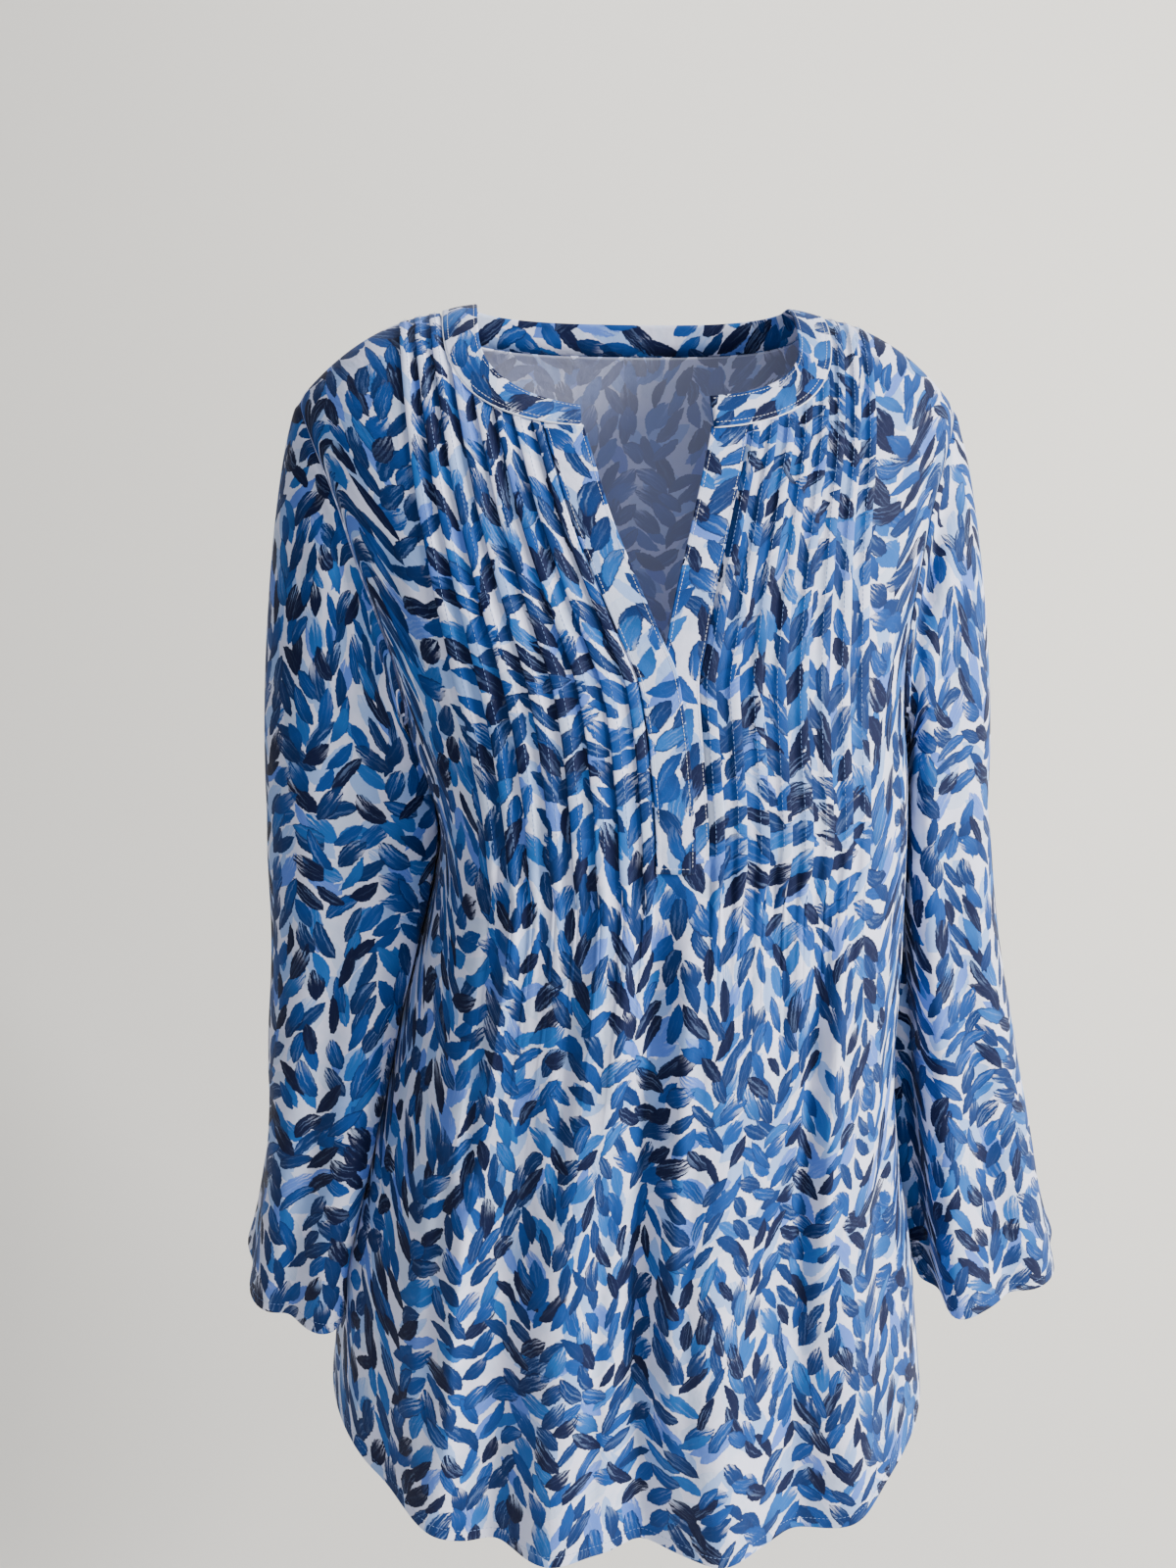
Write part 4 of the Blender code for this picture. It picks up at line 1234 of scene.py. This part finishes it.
def slitHeights(bandSetup, topGap, endGap, rows):
    middleX = float(slitEdge(-neck["frontDrop"])) - slitBandWidth / 2
    top = float(neckHeight(middleX, frontSide)) - topGap
    return np.linspace(top, bandSetup["endZ"] + endGap, rows)


for bandSetup in slitBands:
    heights = slitHeights(bandSetup, slitBandGrid["topGap"], 0, slitBandGrid["rows"])
    slitStations = [slitStation(bandSetup, height) for height in heights]
    strip = sweepSection(bandSetup["name"], slitStations, slitSection, bandSetup["cutPlace"])
    dress(strip)
    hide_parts(bandSetup["node"])
print("slit bands made")

# Stitching: pitch and length of the stitches, and where each line of them runs, in metres
stitchSteps = {"cloth": (0.0027, 0.0021), "bands": (0.0023, 0.0020)}
tuckStitching = {"inset": 0.0010, "lift": 0.00155, "topGap": 0.0015, "endGap": 0.001, "rows": 160}
neckbandEdges = ((0.0016, 0.00112), (0.0170, 0.00100))
slitStitching = {
    "sides": (0.0020, 0.0196), "lift": 0.00052, "topGap": 0.002, "endGap": 0.003, "rows": 120,
    "crossingLift": 0.0008, "crossingRows": 12,
}


def stitchAlong(bm, path, pitch, length):
    # small round stitches at even steps along a path
    path = np.array(path)
    along = wayAlong(path)
    places = (np.arange(int(along[-1] / pitch)) + 0.5) * pitch
    starts = np.stack([np.interp(places - length / 2, along, path[:, k]) for k in range(3)], axis=1)
    ends = np.stack([np.interp(places + length / 2, along, path[:, k]) for k in range(3)], axis=1)
    for start, end in zip(starts, ends):
        way = Vector(end - start)
        turn = way.to_track_quat("Z", "Y").to_matrix().to_4x4()
        size = Matrix.Diagonal((stitching["radius"], stitching["radius"], way.length / 2, 1.0))
        middle = Matrix.Translation(Vector((start + end) / 2))
        bmesh.ops.create_icosphere(bm, subdivisions=1, radius=1.0, matrix=middle @ turn @ size)


def tuckPath(k, hand):
    # a line down the front beside one tuck's fold
    way = (stitchPlace(k) + tuckStitching["inset"]) / tuckSpan
    rails = np.array([(1 - way, way, 0.0)])
    top = float(topHeight(rails, frontSide)[0]) - tuckStitching["topGap"]
    heights = np.linspace(top, releaseZ + tuckStitching["endGap"], tuckStitching["rows"])
    lift = np.full(len(heights), tuckStitching["lift"])
    return columnPoints(frontSide, rails, hand, heights, 0.0, lift)


def hemPath(side, columns):
    share, hand, opened = (gather(columns, key) for key in ("share", "hand", "opened"))
    height = hemHeight(share, hand, opened) + stitching["hemRise"]
    lift = np.full(len(share), stitching["radius"] / 2)
    return columnPoints(side, opened, hand, height, halfWidth(height), lift)


def makeStitches(name, paths, material, steps):
    bm = bmesh.new()
    for path in paths:
        stitchAlong(bm, path, *stitchSteps[steps])
    piece = finishPiece(name, bm)
    piece.data.materials.append(material)
    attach(piece, "root")


tuckPaths = [tuckPath(k, hand) for hand in (-1, 1) for k in range(tucks["count"])]
makeStitches("tuckStitches", tuckPaths, blueThread, "cloth")
hemPaths = [hemPath(frontSide, frontColumns), hemPath(backSide, backColumns)] + sleeveHems
makeStitches("hemStitches", hemPaths, blueThread, "cloth")
bandPaths = [[station(s, lift) for station in bandStations] for s, lift in neckbandEdges]
sides, endGap = slitStitching["sides"], slitStitching["endGap"]
for bandSetup in slitBands:
    heights = slitHeights(bandSetup, slitStitching["topGap"], endGap, slitStitching["rows"])
    for s in sides:
        bandPaths.append([slitStation(bandSetup, height)(s, slitStitching["lift"]) for height in heights])
    crossing = slitStation(bandSetup, bandSetup["endZ"] + endGap)
    steps = np.linspace(*sides, slitStitching["crossingRows"])
    bandPaths.append([crossing(s, slitStitching["crossingLift"]) for s in steps])
makeStitches("bandStitches", bandPaths, paleThread, "bands")
print("stitches made")

# Backdrop: a pale floor that sweeps up behind the garment
stageSetup = {
    "floorZ": -1.35, "backY": 1.5, "frontY": -3.5, "halfWidth": 4.0, "height": 3.0, "bend": 0.9, "steps": 40,
}
stageLook = {"Base Color": tone("ECEBE7"), "Roughness": 0.9}


def makeStage():
    bm = bmesh.new()
    bmesh.ops.create_grid(bm, x_segments=1, y_segments=stageSetup["steps"], size=1.0)
    floorRun = stageSetup["backY"] - stageSetup["bend"] - stageSetup["frontY"]
    arc = stageSetup["bend"] * pi / 2
    total = floorRun + arc + stageSetup["height"]
    for vert in bm.verts:
        run = (vert.co.y + 1) / 2 * total
        if run < floorRun:
            y, z = stageSetup["frontY"] + run, 0.0
        elif run < floorRun + arc:
            turn = (run - floorRun) / stageSetup["bend"]
            y = stageSetup["backY"] - stageSetup["bend"] * (1 - np.sin(turn))
            z = stageSetup["bend"] * (1 - np.cos(turn))
        else:
            y, z = stageSetup["backY"], stageSetup["bend"] + run - floorRun - arc
        vert.co = (vert.co.x * stageSetup["halfWidth"], y, stageSetup["floorZ"] + z)
    stage = finishPiece("stage", bm)
    stage.data.materials.append(newMaterial("paleStage", stageLook)[0])


makeStage()

# Light: a large soft key from the front right, a weak fill and a pale room
lights = [
    {"name": "key", "place": (3.20, -2.10, 1.15), "size": 1.6, "power": 392.0, "colour": "FFFAF2"},
    {"name": "fill", "place": (-0.2, -2.0, 0.3), "size": 1.0, "power": 9.0, "colour": "EEF3FF"},
    {"name": "top", "place": (0.1, 0.5, 1.6), "size": 1.2, "power": 16.0, "colour": "FFFFFF"},
]
aim = Vector((0.0, 0.0, -0.35))
room = {"Color": tone("D6DEEE"), "Strength": 0.22}
for light in lights:
    data = bpy.data.lights.new(light["name"], "AREA")
    data.size = light["size"]
    data.energy = light["power"]
    data.color = tone(light["colour"])[:3]
    lamp = linkObject(light["name"], data)
    lamp.location = light["place"]
    lamp.rotation_euler = (aim - Vector(light["place"])).to_track_quat("-Z", "Y").to_euler()
world = bpy.data.worlds.new("room")
world.use_nodes = True
for key, value in room.items():
    world.node_tree.nodes["Background"].inputs[key].default_value = value
bpy.context.scene.world = world

print("scene ready")
